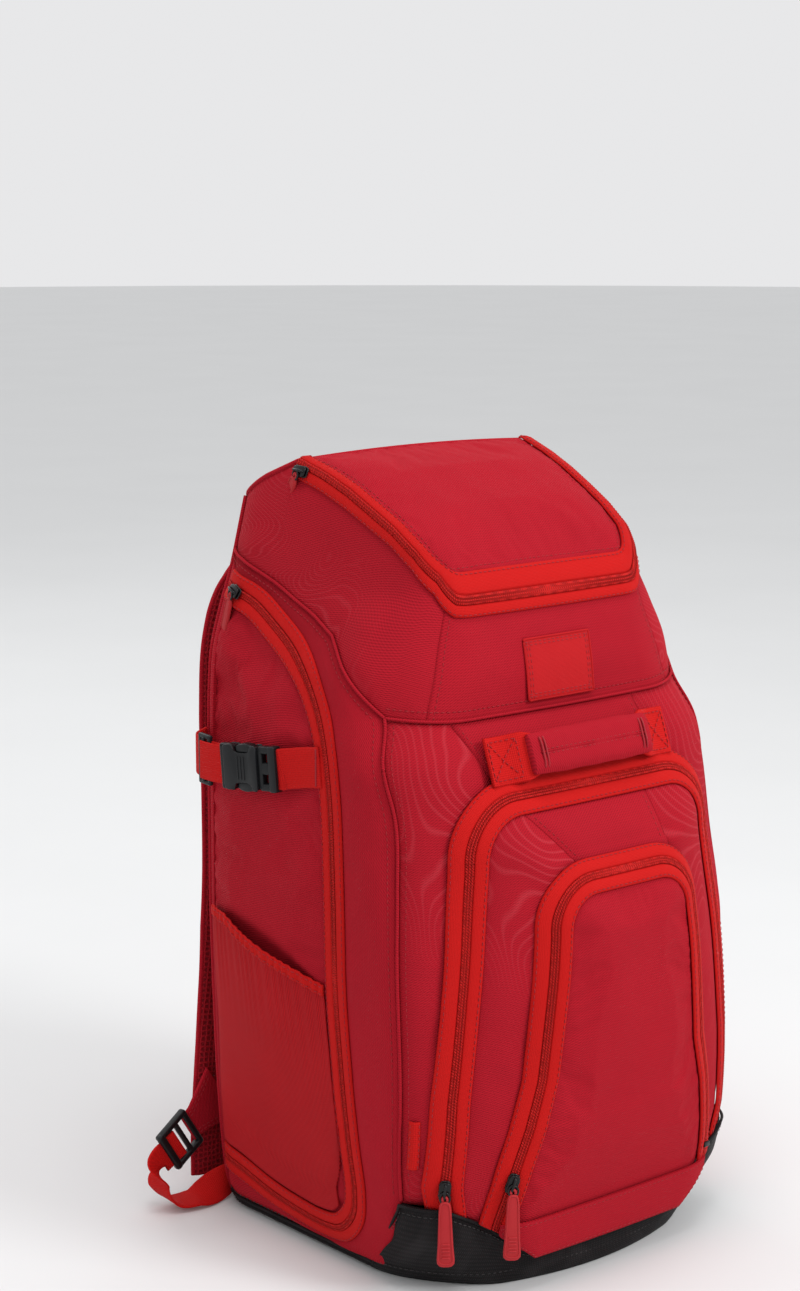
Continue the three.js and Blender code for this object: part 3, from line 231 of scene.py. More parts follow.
def half_outline(z, boot=False):
    """Right half of the plan outline, from the middle of the front to the middle of the back."""
    level = np.array([z / RIM_HEIGHT])
    side, front, nose, bow, front_radius, rear_radius = (float(hermite(BODY, k, level)[0])
                                                         for k in range(1, 7))
    if boot:
        nose, bow, front_radius = (float(hermite(BOOT, k, level)[0]) for k in range(1, 4))
    side, front = side * HALF_WIDTH, front * HALF_WIDTH
    nose, bow = -nose * FRONT_DEPTH, bow * FRONT_DEPTH
    front_radius, rear_radius = front_radius * HALF_WIDTH, rear_radius * HALF_WIDTH
    taper = math.atan2(side - front, REAR_DEPTH - nose)
    n1, n2, n3, n4, n5 = OUTLINE_RUNS
    a = np.linspace(-math.pi / 2, -taper, n2 + 1)
    centre = (front + math.tan(taper) * front_radius - front_radius, nose + front_radius)
    front_arc = np.stack([centre[0] + front_radius * np.cos(a), centre[1] + front_radius * np.sin(a)],
                         axis=1)
    a = np.linspace(-taper, math.pi / 2, n4 + 1)
    centre = (side - rear_radius, REAR_DEPTH - rear_radius)
    rear_arc = np.stack([centre[0] + rear_radius * np.cos(a), centre[1] + rear_radius * np.sin(a)], axis=1)
    run = np.linspace([0, nose], front_arc[0], n1 + 1)[:-1]
    flank = np.linspace(front_arc[-1], rear_arc[0], n3 + 1)[1:-1]
    back = np.linspace(rear_arc[-1], [0, REAR_DEPTH], n5 + 1)[1:]
    loop = np.vstack([run, front_arc, flank, rear_arc, back])
    x, y = loop[:, 0], loop[:, 1]
    share = np.maximum(0, 1 - (x / front) ** 2)
    y = np.where(y < 0, y - bow * share * np.minimum(1, y / nose) ** 4, y)
    return np.stack([x, y], axis=1)


class Skin:
    """The outer surface, by the way round the half body (t from 0 to 1) and the height."""

    def __init__(self, boot=False, top=640):
        self.z = np.arange(0, top, 2.0)
        self.rows = np.array([half_outline(z, boot) for z in self.z])
        self.t = np.linspace(0, 1, self.rows.shape[1])
        self.front_end = (OUTLINE_RUNS[0] + OUTLINE_RUNS[1]) / (self.rows.shape[1] - 1)

    def row(self, z):
        k = min(max(z / 2.0, 0), len(self.z) - 1.001)
        i = int(k)
        return self.rows[i] * (1 - (k - i)) + self.rows[i + 1] * (k - i)

    def flat(self, t, z):
        """Points for arrays of signed t and z."""
        t, z = np.broadcast_arrays(np.asarray(t, float), np.asarray(z, float))
        across = np.clip(np.abs(t), 0, 1) * (len(self.t) - 1)
        up = np.clip(z / 2.0, 0, len(self.z) - 1.001)
        i, j = np.minimum(across.astype(int), len(self.t) - 2), up.astype(int)
        fi, fj = (across - i)[..., None], (up - j)[..., None]
        r = self.rows
        p = ((r[j, i] * (1 - fi) + r[j, i + 1] * fi) * (1 - fj)
             + (r[j + 1, i] * (1 - fi) + r[j + 1, i + 1] * fi) * fj)
        return np.concatenate([p[..., :1] * np.sign(np.where(t == 0, 1, t))[..., None], p[..., 1:],
                               z[..., None]], axis=-1)

    def out(self, t, z):
        """Outward unit normals."""
        dt, dz = 0.012, 4.0
        side = self.flat(np.asarray(t) + dt, z) - self.flat(np.asarray(t) - dt, z)
        up = self.flat(t, np.asarray(z) + dz) - self.flat(t, np.maximum(np.asarray(z) - dz, 0))
        n = np.cross(side, up)
        return n / np.maximum(np.linalg.norm(n, axis=-1, keepdims=True), 1e-9)

    def t_at_y(self, y, z):
        """t on the right side for arrays of y and z."""
        y, z = np.broadcast_arrays(np.asarray(y, float), np.asarray(z, float))
        flat = [np.interp(b, self.row(c)[:, 1], self.t) for b, c in zip(y.ravel(), z.ravel())]
        return np.array(flat).reshape(y.shape)

    def t_at_x(self, x, z):
        """t on the front for arrays of x and z."""
        x, z = np.broadcast_arrays(np.asarray(x, float), np.asarray(z, float))
        end = int(self.front_end * (len(self.t) - 1)) + 1
        flat = [math.copysign(np.interp(abs(a), self.row(c)[:end, 0], self.t[:end]), a)
                for a, c in zip(x.ravel(), z.ravel())]
        return np.array(flat).reshape(x.shape)


skin = Skin()
boot_skin = Skin(boot=True, top=110)
rim = side_view(RIM)


def rim_at(y):
    return between(rim, y)


def on_side(points, out=0.0):
    """Side view points set on the right side."""
    points = np.asarray(points, float)
    t = skin.t_at_y(points[..., 0], points[..., 1])
    return skin.flat(t, points[..., 1]) + skin.out(t, points[..., 1]) * np.asarray(out)[..., None]


def front_at(x, z):
    x, z = np.broadcast_arrays(np.asarray(x, float), np.asarray(z, float))
    return skin.flat(skin.t_at_x(x, z), z)[..., 1]


def on_front(points, out=0.0):
    points = np.asarray(points, float)
    t = skin.t_at_x(points[..., 0], points[..., 1])
    return skin.flat(t, points[..., 1]) + skin.out(t, points[..., 1]) * np.asarray(out)[..., None]


def coons(bottom, right, top, left):
    """A grid between four lines. bottom and top run the same way, left and right run upwards."""
    bottom, right, top, left = (np.asarray(line, float) for line in (bottom, right, top, left))
    u = np.linspace(0, 1, len(bottom))[None, :, None]
    v = np.linspace(0, 1, len(left))[:, None, None]
    ruled = (1 - v) * bottom[None] + v * top[None] + (1 - u) * left[:, None] + u * right[:, None]
    corners = ((1 - u) * (1 - v) * bottom[0] + u * (1 - v) * bottom[-1]
               + (1 - u) * v * top[0] + u * v * top[-1])
    return ruled - corners


def grid_normals(p):
    across = np.gradient(p, axis=1)
    up = np.gradient(p, axis=0)
    n = np.cross(across, up)
    length = np.linalg.norm(n, axis=-1, keepdims=True)
    n = n / np.maximum(length, 1e-9)
    return n


def edge_distance(p, sides="lrbt"):
    """How far each grid point is from the chosen edges, along the grid."""
    step_u = np.linalg.norm(np.diff(p, axis=1), axis=-1)
    step_v = np.linalg.norm(np.diff(p, axis=0), axis=-1)
    from_left = np.concatenate([np.zeros((p.shape[0], 1)), np.cumsum(step_u, axis=1)], axis=1)
    from_bottom = np.concatenate([np.zeros((1, p.shape[1])), np.cumsum(step_v, axis=0)], axis=0)
    ways = {"l": from_left, "r": from_left[:, -1:] - from_left,
            "b": from_bottom, "t": from_bottom[-1:] - from_bottom}
    return np.min([ways[k] for k in sides], axis=0)


def puff(p, high=1.6, low=-1.6, reach=11.0, sides="lrbt"):
    """Padded cloth: it dips into its seams and stands proud between them."""
    d = edge_distance(p, sides)
    rise = low + (high - low) * (1 - np.exp(-(d / reach) ** 1.25))
    return p + grid_normals(p) * rise[..., None]


def ripple(p, size, depth, seed=0.0, stretch=(1, 1, 1)):
    """Soft unevenness of sewn cloth."""
    d = edge_distance(p)
    fade = np.clip(d / 14.0, 0, 1)
    flat = p.reshape(-1, 3)
    h = np.array([noise.fractal(Vector((a * stretch[0] / size + seed, b * stretch[1] / size,
                                        c * stretch[2] / size)),
                                1.0, 2.0, 2) for a, b, c in flat])
    return p + grid_normals(p) * (h.reshape(p.shape[:2]) * depth * fade)[..., None]


# Colours and materials

def linear(hex_colour):
    """An sRGB hex colour as linear values."""
    parts = [int(hex_colour[i:i + 2], 16) / 255 for i in (1, 3, 5)]
    return tuple(c / 12.92 if c <= 0.04045 else ((c + 0.055) / 1.055) ** 2.4 for c in parts) + (1.0,)


def add_node(tree, kind, inputs=(), give=0, **settings):
    """A node with its inputs in order or by name, linked or constant, and the output asked for."""
    node = tree.nodes.new("ShaderNode" + kind)
    for name, value in settings.items():
        setattr(node, name, value)
    for key, value in inputs.items() if isinstance(inputs, dict) else enumerate(inputs):
        if isinstance(value, bpy.types.NodeSocket):
            tree.links.new(value, node.inputs[key])
        else:
            node.inputs[key].default_value = value
    return node.outputs[give] if node.outputs else node


def new_material(name):
    """An empty material and the way to add a node to it."""
    material = bpy.data.materials.new(name)
    material.use_nodes = True
    material.node_tree.nodes.clear()
    return material, partial(add_node, material.node_tree)


# Each weave as a sum of terms: the term's weight, then the ribs that are multiplied in it, each
# with its spacing as a share of the thread spacing, its direction and its turn in radians
WEAVES = {
    # 2/1 twill: steep diagonal lines over the picks
    "twill": [(0.7, [(1.0, "X", 1.0)]), (0.3, [(1.4, "Y", 0.0)])],
    # ribs along the length, crossed by the picks
    "rib": [(0.45, [(1.0, "X", 0.0)]), (0.55, [(0.9, "Y", 0.0)])],
    # one tooth after the other
    "coil": [(1.0, [(1.0, "X", 0.0)])],
    # upright ribs with a trace of the loops
    "knit": [(0.75, [(1.0, "X", 0.0)]), (0.25, [(1.0, "X", 0.0), (1.3, "Y", 0.0)])],
    "plain": [(1.0, [(1.0, "X", 0.0), (1.0, "Y", 0.0)])],
}
WAVE_TURNS = 0.31416  # a wave texture's scale for ribs one metre apart


def cloth_material(name, base, shade, pitch, weave, rough=0.82, sheen=0.25, relief=0.0004, printed=None,
                   soil=0.0, strength=0.65):
    """Woven or knitted cloth in two close tones, with its threads as colour and relief."""
    material, node = new_material(name)
    # place on the cloth in metres, from the pattern that each piece is cut to
    place = node("UVMap", uv_map="cut")
    if weave == "spacer":
        # open cells of a spacer mesh
        scaled = node("VectorMath", [place, (1 / pitch, 1 / pitch, 1 / pitch)], operation="MULTIPLY")
        cells = node("TexVoronoi", {"Vector": scaled, "Scale": 1.0, "Randomness": 0.25},
                     feature="DISTANCE_TO_EDGE")
        walls = node("Math", [cells, 3.2], operation="MULTIPLY", use_clamp=True)
        threads = node("Math", [1.0, walls], operation="SUBTRACT", use_clamp=True)
    else:
        threads = 0.0
        for term, ribs in WEAVES[weave]:
            for spacing, direction, turn in ribs:
                turned = node("Mapping", {"Vector": place, "Rotation": (0, 0, turn)})
                rib = node("TexWave", {"Vector": turned, "Scale": WAVE_TURNS / (pitch * spacing)}, "Fac",
                           bands_direction=direction)
                term = node("Math", [term, rib], operation="MULTIPLY")
            threads = node("Math", [threads, term], operation="ADD")
    # dye and light vary a little over a panel
    patchy = node("TexNoise", {"Vector": place, "Scale": 9.0, "Detail": 4.0, "Roughness": 0.7})
    fuzz = node("TexNoise", {"Vector": place, "Scale": 900.0, "Detail": 2.0})
    tone = node("Math", [patchy, 0.45], operation="MULTIPLY")
    tone = node("Math", [threads, strength, tone], operation="MULTIPLY_ADD")
    tone = node("Math", [fuzz, 0.25, tone], operation="MULTIPLY_ADD", use_clamp=True)
    colour = node("Mix", {0: tone, 6: linear(shade), 7: linear(base)}, 2, data_type="RGBA")
    height = node("Math", [fuzz, 0.5, threads], operation="MULTIPLY_ADD")
    roughness = node("Math", [fuzz, 0.16, rough - 0.08], operation="MULTIPLY_ADD")
    if printed:
        # height lines of an invented hill map, 0.6 mm wide, a few millimetres apart
        hills = node("TexNoise", {"Vector": place, "Scale": 6.0, "Detail": 2.0, "Roughness": 0.35,
                                  "Distortion": 0.6})
        level = node("Math", [hills, 95.0], operation="MULTIPLY")
        level = node("Math", [level], operation="FRACT")
        line = node("Math", [level, 0.5], operation="SUBTRACT")
        line = node("Math", [line], operation="ABSOLUTE")
        line = node("Math", [line, 5.0], operation="MULTIPLY", use_clamp=True)
        line = node("Math", [1.0, line], operation="SUBTRACT", use_clamp=True)
        # the print fades in and out over the cloth
        fade = node("TexNoise", {"Vector": place, "Scale": 3.2, "Detail": 1.0})
        fade = node("Math", [fade, 0.38], operation="SUBTRACT")
        fade = node("Math", [fade, 3.4], operation="MULTIPLY", use_clamp=True)
        ink = node("Math", [line, fade], operation="MULTIPLY")
        ink = node("Math", [ink, 0.42], operation="MULTIPLY")
        colour = node("Mix", {0: ink, 6: colour, 7: linear(printed)}, 2, data_type="RGBA")
        roughness = node("Math", [ink, -0.4, roughness], operation="MULTIPLY_ADD")
    if soil:
        # rubbed paler where it meets the ground
        rub = node("TexNoise", {"Vector": place, "Scale": 38.0, "Detail": 5.0})
        rub = node("Math", [rub, 0.5], operation="SUBTRACT", use_clamp=True)
        rub = node("Math", [rub, soil], operation="MULTIPLY")
        colour = node("Mix", {0: rub, 6: colour, 7: linear("#5a5556")}, 2, data_type="RGBA")
    bump = node("Bump", {"Height": height, "Distance": relief, "Strength": 0.8})
    surface = node("BsdfPrincipled", {
        "Base Color": colour, "Roughness": roughness, "Normal": bump, "IOR": 1.5, "Sheen Weight": sheen,
        "Sheen Roughness": 0.4, "Sheen Tint": linear("#d8323c"), "Specular IOR Level": 0.09,
    })
    node("OutputMaterial", {"Surface": surface})
    return material


def moulded_material(name, base, wear, rough, grain, relief, ior=1.46, coat=0.0):
    """Moulded, cast or painted parts, with grain and edge wear from fine noise."""
    material, node = new_material(name)
    place = node("TexCoord", give="Object")
    fine = node("TexNoise", {"Vector": place, "Scale": 1 / grain, "Detail": 3.0})
    broad = node("TexNoise", {"Vector": place, "Scale": 120.0, "Detail": 4.0})
    edge = node("NewGeometry", give="Pointiness")
    edge = node("Math", [edge, 0.53], operation="SUBTRACT")
    edge = node("Math", [edge, 9.0], operation="MULTIPLY", use_clamp=True)
    tone = node("Math", [edge, 0.5], operation="MULTIPLY")
    tone = node("Math", [broad, 0.35, tone], operation="MULTIPLY_ADD", use_clamp=True)
    colour = node("Mix", {0: tone, 6: linear(base), 7: linear(wear)}, 2, data_type="RGBA")
    roughness = node("Math", [broad, 0.18, rough - 0.09], operation="MULTIPLY_ADD")
    bump = node("Bump", {"Height": fine, "Distance": relief, "Strength": 0.6})
    surface = node("BsdfPrincipled", {
        "Base Color": colour, "Roughness": roughness, "Normal": bump, "IOR": ior, "Coat Weight": coat,
        "Coat Roughness": 0.12, "Specular IOR Level": 0.3,
    })
    node("OutputMaterial", {"Surface": surface})
    return material


MATERIALS = {}


def make_materials(colours):
    def hex_of(value):
        back = [12.92 * c if c <= 0.0031308 else 1.055 * c ** (1 / 2.4) - 0.055 for c in value[:3]]
        return "#" + "".join(f"{round(min(max(c, 0), 1) * 255):02x}" for c in back)

    body, bright, dark = hex_of(colours.body), hex_of(colours.trim), hex_of(colours.base)
    # 600 denier polyester over foam, piece dyed: matt with a faint bloom. Threads are 0.5 mm
    # apart, drawn at 1.5 mm so that they show.
    MATERIALS["twill"] = cloth_material("polyester_twill_woven", body, "#84121f", 0.0015, "twill")
    # The same cloth with a tone on tone screen print, slightly smoother where the ink lies
    MATERIALS["printed"] = cloth_material("polyester_twill_screen_printed", body, "#84121f", 0.0015,
                                          "twill",
                                          printed="#d4525c")
    # Woven zipper tape: dense, brighter dye, ribs 0.8 mm apart drawn at 1.2 mm
    MATERIALS["tape"] = cloth_material("polyester_zipper_tape_woven", bright, "#b01312", 0.0012, "rib",
                                       0.68, 0.12)
    # Extruded nylon coil, set round a core: smoother than the tape
    MATERIALS["coil"] = cloth_material("nylon_zipper_coil_extruded", "#c8201d", "#6e0c0e", 0.0022, "coil",
                                       0.5, 0.0,
                                       relief=0.0005, strength=0.85)
    # Heavy webbing with ribs 1.5 mm apart
    MATERIALS["webbing"] = cloth_material("polyester_webbing_woven", bright, "#a81414", 0.0016, "rib", 0.7,
                                          0.15,
                                          relief=0.0005, strength=0.7)
    # Warp knitted stretch cloth with fine upright ribs, 1 mm apart drawn at 1.5 mm
    MATERIALS["stretch"] = cloth_material("elastane_stretch_mesh_knitted", "#bf1c22", "#6f0d14", 0.0015,
                                          "knit", 0.72,
                                          0.2, relief=0.0005, strength=0.75)
    # Thick spacer mesh, cells 4 mm across
    MATERIALS["spacer"] = cloth_material("polyester_spacer_mesh_knitted", "#a11b26", "#3c0a10", 0.0042,
                                         "spacer", 0.85,
                                         0.2, relief=0.0012, strength=0.8)
    # Coated cloth, embossed with a fine plain weave: low sheen and scuffed where it stands
    MATERIALS["coated"] = cloth_material("polyester_coated_embossed", dark, "#0c0b0c", 0.0016, "plain", 0.5,
                                         0.0,
                                         relief=0.0003, soil=0.5)
    # Plain lining cloth
    MATERIALS["lining"] = cloth_material("polyester_lining_woven", "#7d1720", "#520d14", 0.001, "plain",
                                         0.7, 0.1)
    # Smooth bright cloth of the sewn-on patch
    MATERIALS["patch"] = cloth_material("polyester_patch_cloth_woven", "#cf2226", "#a8141a", 0.0009,
                                        "plain", 0.62,
                                        0.1)
    # The boot's own thread
    MATERIALS["dark_thread"] = moulded_material("polyester_thread_spun_dark", "#2a2627", "#4a4646", 0.5,
                                                0.0004,
                                                0.00005)
    # Spun polyester sewing thread, glossier than the cloth it holds
    MATERIALS["thread"] = moulded_material("polyester_thread_spun", "#8e1620", "#a82a32", 0.6, 0.0004,
                                           0.00005)
    # Soft moulded rubber with a powdery matt face
    MATERIALS["rubber"] = moulded_material("silicone_rubber_moulded", "#a61c22", "#bb3438", 0.6, 0.0005,
                                           0.00004,
                                           ior=1.41)
    # Zinc die castings under glossy black enamel
    MATERIALS["metal"] = moulded_material("zinc_die_cast_enamelled", "#060607", "#1c1c1e", 0.3, 0.002,
                                          0.00002,
                                          ior=1.4, coat=0.15)
    # Acetal injection mouldings with a fine spark eroded grain
    MATERIALS["plastic"] = moulded_material("acetal_injection_moulded", "#0a0b0c", "#232529", 0.42, 0.0006,
                                            0.00006,
                                            ior=1.48)


# Meshes

def add_object(name, points, faces, material, uvs=None, flat_faces=(), slot=None):
    mesh = bpy.data.meshes.new(name)
    mesh.from_pydata((np.asarray(points) * MM).tolist(), [], faces)
    mesh.polygons.foreach_set("use_smooth", [i not in flat_faces for i in range(len(mesh.polygons))])
    layer = mesh.uv_layers.new(name="cut")
    if uvs is None:
        uvs = np.asarray(points)[:, [0, 2]]
    loops = np.empty(len(mesh.loops), dtype=np.int64)
    mesh.loops.foreach_get("vertex_index", loops)
    layer.data.foreach_set("uv", (np.asarray(uvs)[loops] * MM).ravel())
    mesh.materials.append(MATERIALS[material])
    mesh.validate()
    mesh.update()
    piece = bpy.data.objects.new(name, mesh)
    bpy.context.scene.collection.objects.link(piece)
    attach(piece, "root")
    return piece


def grid_uv(p):
    """Flat pattern of a grid: distances along it, in millimetres."""
    rows, columns = p.shape[:2]
    u = np.concatenate([np.zeros((rows, 1)),
                        np.cumsum(np.linalg.norm(np.diff(p, axis=1), axis=-1), axis=1)], axis=1)
    u -= u[:, columns // 2][:, None]
    v = np.concatenate([[0], np.cumsum(np.linalg.norm(np.diff(p[:, columns // 2], axis=0), axis=-1))])
    return np.stack([u, np.broadcast_to(v[:, None], u.shape)], axis=-1)


def sheet_mesh(grids, thickness):
    """Points, faces, pattern places and rim faces of thick sheets that face along their normals."""
    points, faces, uvs, rims = [], [], [], set()
    for p in grids:
        rows, columns = p.shape[:2]
        n = grid_normals(p)
        base = sum(len(q) for q in points)
        uv = grid_uv(p).reshape(-1, 2)
        points += [p.reshape(-1, 3), (p - n * thickness).reshape(-1, 3)]
        uvs += [uv, uv]
        size = rows * columns
        index = np.arange(size).reshape(rows, columns) + base
        a, b, c, d = index[:-1, :-1], index[:-1, 1:], index[1:, 1:], index[1:, :-1]
        front = np.stack([a, b, c, d], axis=-1).reshape(-1, 4)
        faces += front.tolist() + (front[:, ::-1] + size).tolist()
        border = np.concatenate([index[0, :], index[1:, -1], index[-1, -2::-1], index[-2:0:-1, 0]])
        after = np.roll(border, -1)
        start = len(faces)
        faces += np.stack([border, border + size, after + size, after], axis=-1).tolist()
        rims.update(range(start, len(faces)))
    return np.concatenate(points), faces, np.concatenate(uvs), rims


def sheet_piece(name, grids, material, thickness=2.6, replaces=(), slot=None):
    points, faces, uvs, rims = sheet_mesh(grids, thickness)
    piece = add_object(name, points, faces, material, uvs, rims, slot)
    if replaces:
        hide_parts(*replaces)
    return piece


def mirrored(grid):
    """The grid on the other side, with its columns turned round so that it still faces outwards."""
    flipped = grid * np.array([-1, 1, 1])
    return flipped[:, ::-1]


def sheet_pair(name, grids, material, thickness=2.6, replace=True, slot=None):
    """A right piece and its mirror image, each in the place of the node of its name."""
    for side, made in (("right", grids), ("left", [mirrored(g) for g in grids])):
        full = f"{name}_{side}"
        sheet_piece(full + "_cloth", made, material, thickness, [full] if replace else (), slot)


def settle(p, pressure, grow, cap, frames=16, pinned="lrbt", stiff=12.0):
    """Pressure from inside on a panel that is cut a little larger than its place, held at its seams."""
    rows, columns = p.shape[:2]
    mesh = bpy.data.meshes.new("panel_being_settled")
    index = np.arange(rows * columns).reshape(rows, columns)
    faces = np.stack([index[:-1, :-1], index[:-1, 1:], index[1:, 1:], index[1:, :-1]], axis=-1).reshape(-1,
                                                                                                        4)
    mesh.from_pydata((p.reshape(-1, 3) * MM).tolist(), [], faces.tolist())
    panel = bpy.data.objects.new("panel_being_settled", mesh)
    bpy.context.scene.collection.objects.link(panel)
    held = panel.vertex_groups.new(name="held")
    distance = edge_distance(p, pinned).ravel()
    for i in np.nonzero(distance < 1.0)[0]:
        held.add([int(i)], 1.0, "REPLACE")
    cloth = panel.modifiers.new("settle", "CLOTH")
    s = cloth.settings
    s.quality = 6
    s.mass = 0.25
    s.tension_stiffness = stiff
    s.compression_stiffness = stiff
    s.shear_stiffness = stiff * 0.6
    s.bending_stiffness = 0.6
    s.use_pressure = True
    s.uniform_pressure_force = pressure
    s.shrink_min = -grow
    s.vertex_group_mass = "held"
    s.effector_weights.gravity = 0.0
    cloth.collision_settings.use_collision = False
    cloth.point_cache.frame_start = 1
    cloth.point_cache.frame_end = frames
    scene = bpy.context.scene
    for f in range(1, frames + 1):
        scene.frame_set(f)
    ready = panel.evaluated_get(bpy.context.evaluated_depsgraph_get())
    co = np.empty(rows * columns * 3)
    ready.data.vertices.foreach_get("co", co)
    scene.frame_set(1)
    bpy.data.objects.remove(panel)
    bpy.data.meshes.remove(mesh)
    move = co.reshape(rows, columns, 3) / MM - p
    length = np.linalg.norm(move, axis=-1, keepdims=True)
    return p + move * np.minimum(1, cap / np.maximum(length, 1e-6))


def tube(path, radius, sides=8):
    """Points and faces of a round cord along a path, with closed ends."""
    path = np.asarray(path, float)
    tangent = np.gradient(path, axis=0)
    tangent /= np.maximum(np.linalg.norm(tangent, axis=1, keepdims=True), 1e-9)
    side = np.cross(tangent, [0.13, 0.31, 0.94])
    side /= np.maximum(np.linalg.norm(side, axis=1, keepdims=True), 1e-9)
    up = np.cross(side, tangent)
    a = np.arange(sides) * 2 * math.pi / sides
    ring = (side[:, None] * np.cos(a)[None, :, None] + up[:, None] * np.sin(a)[None, :, None]) * radius
    points = (path[:, None] + ring).reshape(-1, 3)
    index = np.arange(len(path) * sides).reshape(len(path), sides)
    after = np.roll(index, -1, axis=1)
    faces = np.stack([index[:-1], index[1:], after[1:], after[:-1]], axis=-1).reshape(-1, 4).tolist()
    faces.append(index[0].tolist())
    faces.append(index[-1][::-1].tolist())
    run = lengths(path)
    uv = np.stack(np.broadcast_arrays(np.arange(sides)[None] * 0.8, run[:, None]), axis=-1).reshape(-1, 2)
    return points, faces, uv


def join_parts(parts):
    points, faces, uvs = [], [], []
    count = 0
    for p, f, uv in parts:
        points.append(p)
        uvs.append(uv)
        faces += [[i + count for i in face] for face in f]
        count += len(p)
    return np.concatenate(points), faces, np.concatenate(uvs)


STITCH = {"pitch": 4.4, "length": 3.0, "thick": 0.36}


def stitches(path, out):
    """Separate lockstitches that lie along a seam."""
    path, out = np.asarray(path, float), np.asarray(out, float)
    run = lengths(path)
    count = int(run[-1] / STITCH["pitch"])
    if count < 1:
        return []
    start = (np.arange(count) + 0.15) * STITCH["pitch"]

    def at(values, s):
        return np.stack([np.interp(s, run, values[:, k]) for k in range(3)], axis=1)

    a, b = at(path, start), at(path, start + STITCH["length"])
    n = at(out, start + STITCH["length"] / 2)
    along = b - a
    along /= np.maximum(np.linalg.norm(along, axis=1, keepdims=True), 1e-9)
    side = np.cross(along, n)
    side /= np.maximum(np.linalg.norm(side, axis=1, keepdims=True), 1e-9)
    up = np.cross(side, along)
    r = STITCH["thick"]
    shape = [(-1, -0.3), (0, 0.8), (1, -0.3)]
    rings = []
    for end, grow, lift in ((0.0, 0.35, -0.6), (0.22, 1.0, 0.25), (0.78, 1.0, 0.25), (1.0, 0.35, -0.6)):
        centre = a + (b - a) * end + up * lift * r
        rings.append(np.stack([centre + side * (x * r * grow) + up * (y * r * grow) for x, y in shape],
                              axis=1))
    points = np.stack(rings, axis=1).reshape(-1, 3)
    sides = len(shape)
    faces = []
    for r0 in range(0, 3 * sides, sides):
        faces += [[r0 + i, r0 + (i + 1) % sides, r0 + sides + (i + 1) % sides, r0 + sides + i]
                  for i in range(sides)]
    faces.append([2, 1, 0])
    faces.append([9, 10, 11])
    base = np.arange(count) * 4 * sides
    every = [[i + b0 for i in face] for b0 in base.tolist() for face in faces]
    return [(points, every, points[:, [0, 2]])]


SEAM_ROWS = []


def sew(path, out):
    """Remember a row of stitches; they become one piece at the end."""
    SEAM_ROWS.append((np.asarray(path, float), np.asarray(out, float)))


def sew_grid_edge(p, edge, inset, lift=0.1):
    """Stitch along one edge of a grid, a little way in."""
    n = grid_normals(p)
    rows, columns = p.shape[:2]
    lines = {"l": (p, n), "r": (p[:, ::-1], n[:, ::-1]),
             "b": (p.transpose(1, 0, 2), n.transpose(1, 0, 2)),
             "t": (p.transpose(1, 0, 2)[:, ::-1], n.transpose(1, 0, 2)[:, ::-1])}
    g, m = lines[edge]
    path, out = [], []
    for line, normal in zip(g, m):
        run = lengths(line)
        path.append([np.interp(inset, run, line[:, k]) for k in range(3)])
        out.append([np.interp(inset, run, normal[:, k]) for k in range(3)])
    path, out = np.array(path), np.array(out)
    path = path + out * lift
    sew(path, out)


# Zippers: cross section of the band as way across and height, then the coil on top
TAPE_SECTION = np.array([
    [-11.5, -1.3], [-11.2, -0.2], [-10.4, 0.5], [-8.6, 0.75], [-6.0, 0.7], [-3.6, 0.45], [-3.0, 0.1],
    [-2.7, -0.6],
    [0.0, -0.8],
    [2.7, -0.6], [3.0, 0.1], [3.6, 0.45], [6.0, 0.7], [8.6, 0.75], [10.4, 0.5], [11.2, -0.2], [11.5, -1.3],
])
COIL_PITCH = 2.2


def band_piece(name, place, count, replaces, mirror=False, start=0.0, end=1.0):
    """A zipper along a surface. place(q, s, h) gives points at q along, s across and height h."""
    q = np.linspace(start, end, count)
    rows = []
    for s, h in TAPE_SECTION:
        rows.append(place(q, s, h))
    tape = np.stack(rows, axis=0)
    middle = place(q, 0.0, 0.2)
    if np.mean(np.sum(grid_normals(tape) * (place(q, 0.0, 3.0) - middle)[None], axis=-1)) < 0:
        tape = tape[::-1]
    run = lengths(middle)[-1]
    fine = int(run / COIL_PITCH * 3)
    qf = np.linspace(start, end, fine)
    phase = np.arange(fine) % 3
    tooth = np.array([-0.25, 0.5, 0.45])[phase]
    coil_rows = []
    for s, h in ((-2.5, -0.9), (-2.25, 0.1), (-1.3, 0.55), (-0.3, 0.25), (0.3, 0.25), (1.3, 0.55),
                 (2.25, 0.1),
                 (2.5, -0.9)):
        lift = np.where(abs(s) > 0.5, tooth, tooth * 0.4)
        coil_rows.append(place(qf, s, h + lift * (h > 0)))
    coil = np.stack(coil_rows, axis=0)
    if np.mean(np.sum(grid_normals(coil) * (place(qf, 0.0, 3.0) - place(qf, 0.0, 0.0))[None], axis=-1)) < 0:
        coil = coil[::-1]
    sides = [("", 1)] if not mirror else [("_right", 1), ("_left", -1)]
    for ending, sign in sides:
        t, c = (tape, coil) if sign > 0 else (mirrored(tape), mirrored(coil))
        nodes = [replaces + ending] if mirror else [replaces]
        sheet_piece(f"{name}{ending}_tape", [t], "tape", 1.2, nodes, "zip_tape")
        sheet_piece(f"{name}{ending}_coil", [c], "coil", 0.6, (), "zip_tape")
    for s in (-9.8, 9.8):
        line = place(q, s, 0.85)
        out = place(q, s, 2.85) - line
        out /= np.linalg.norm(out, axis=1, keepdims=True)
        sew(line, out)
        if mirror:
            flip = np.array([-1, 1, 1])
            sew(line * flip, out * flip)


# Base boot and the walls of the body

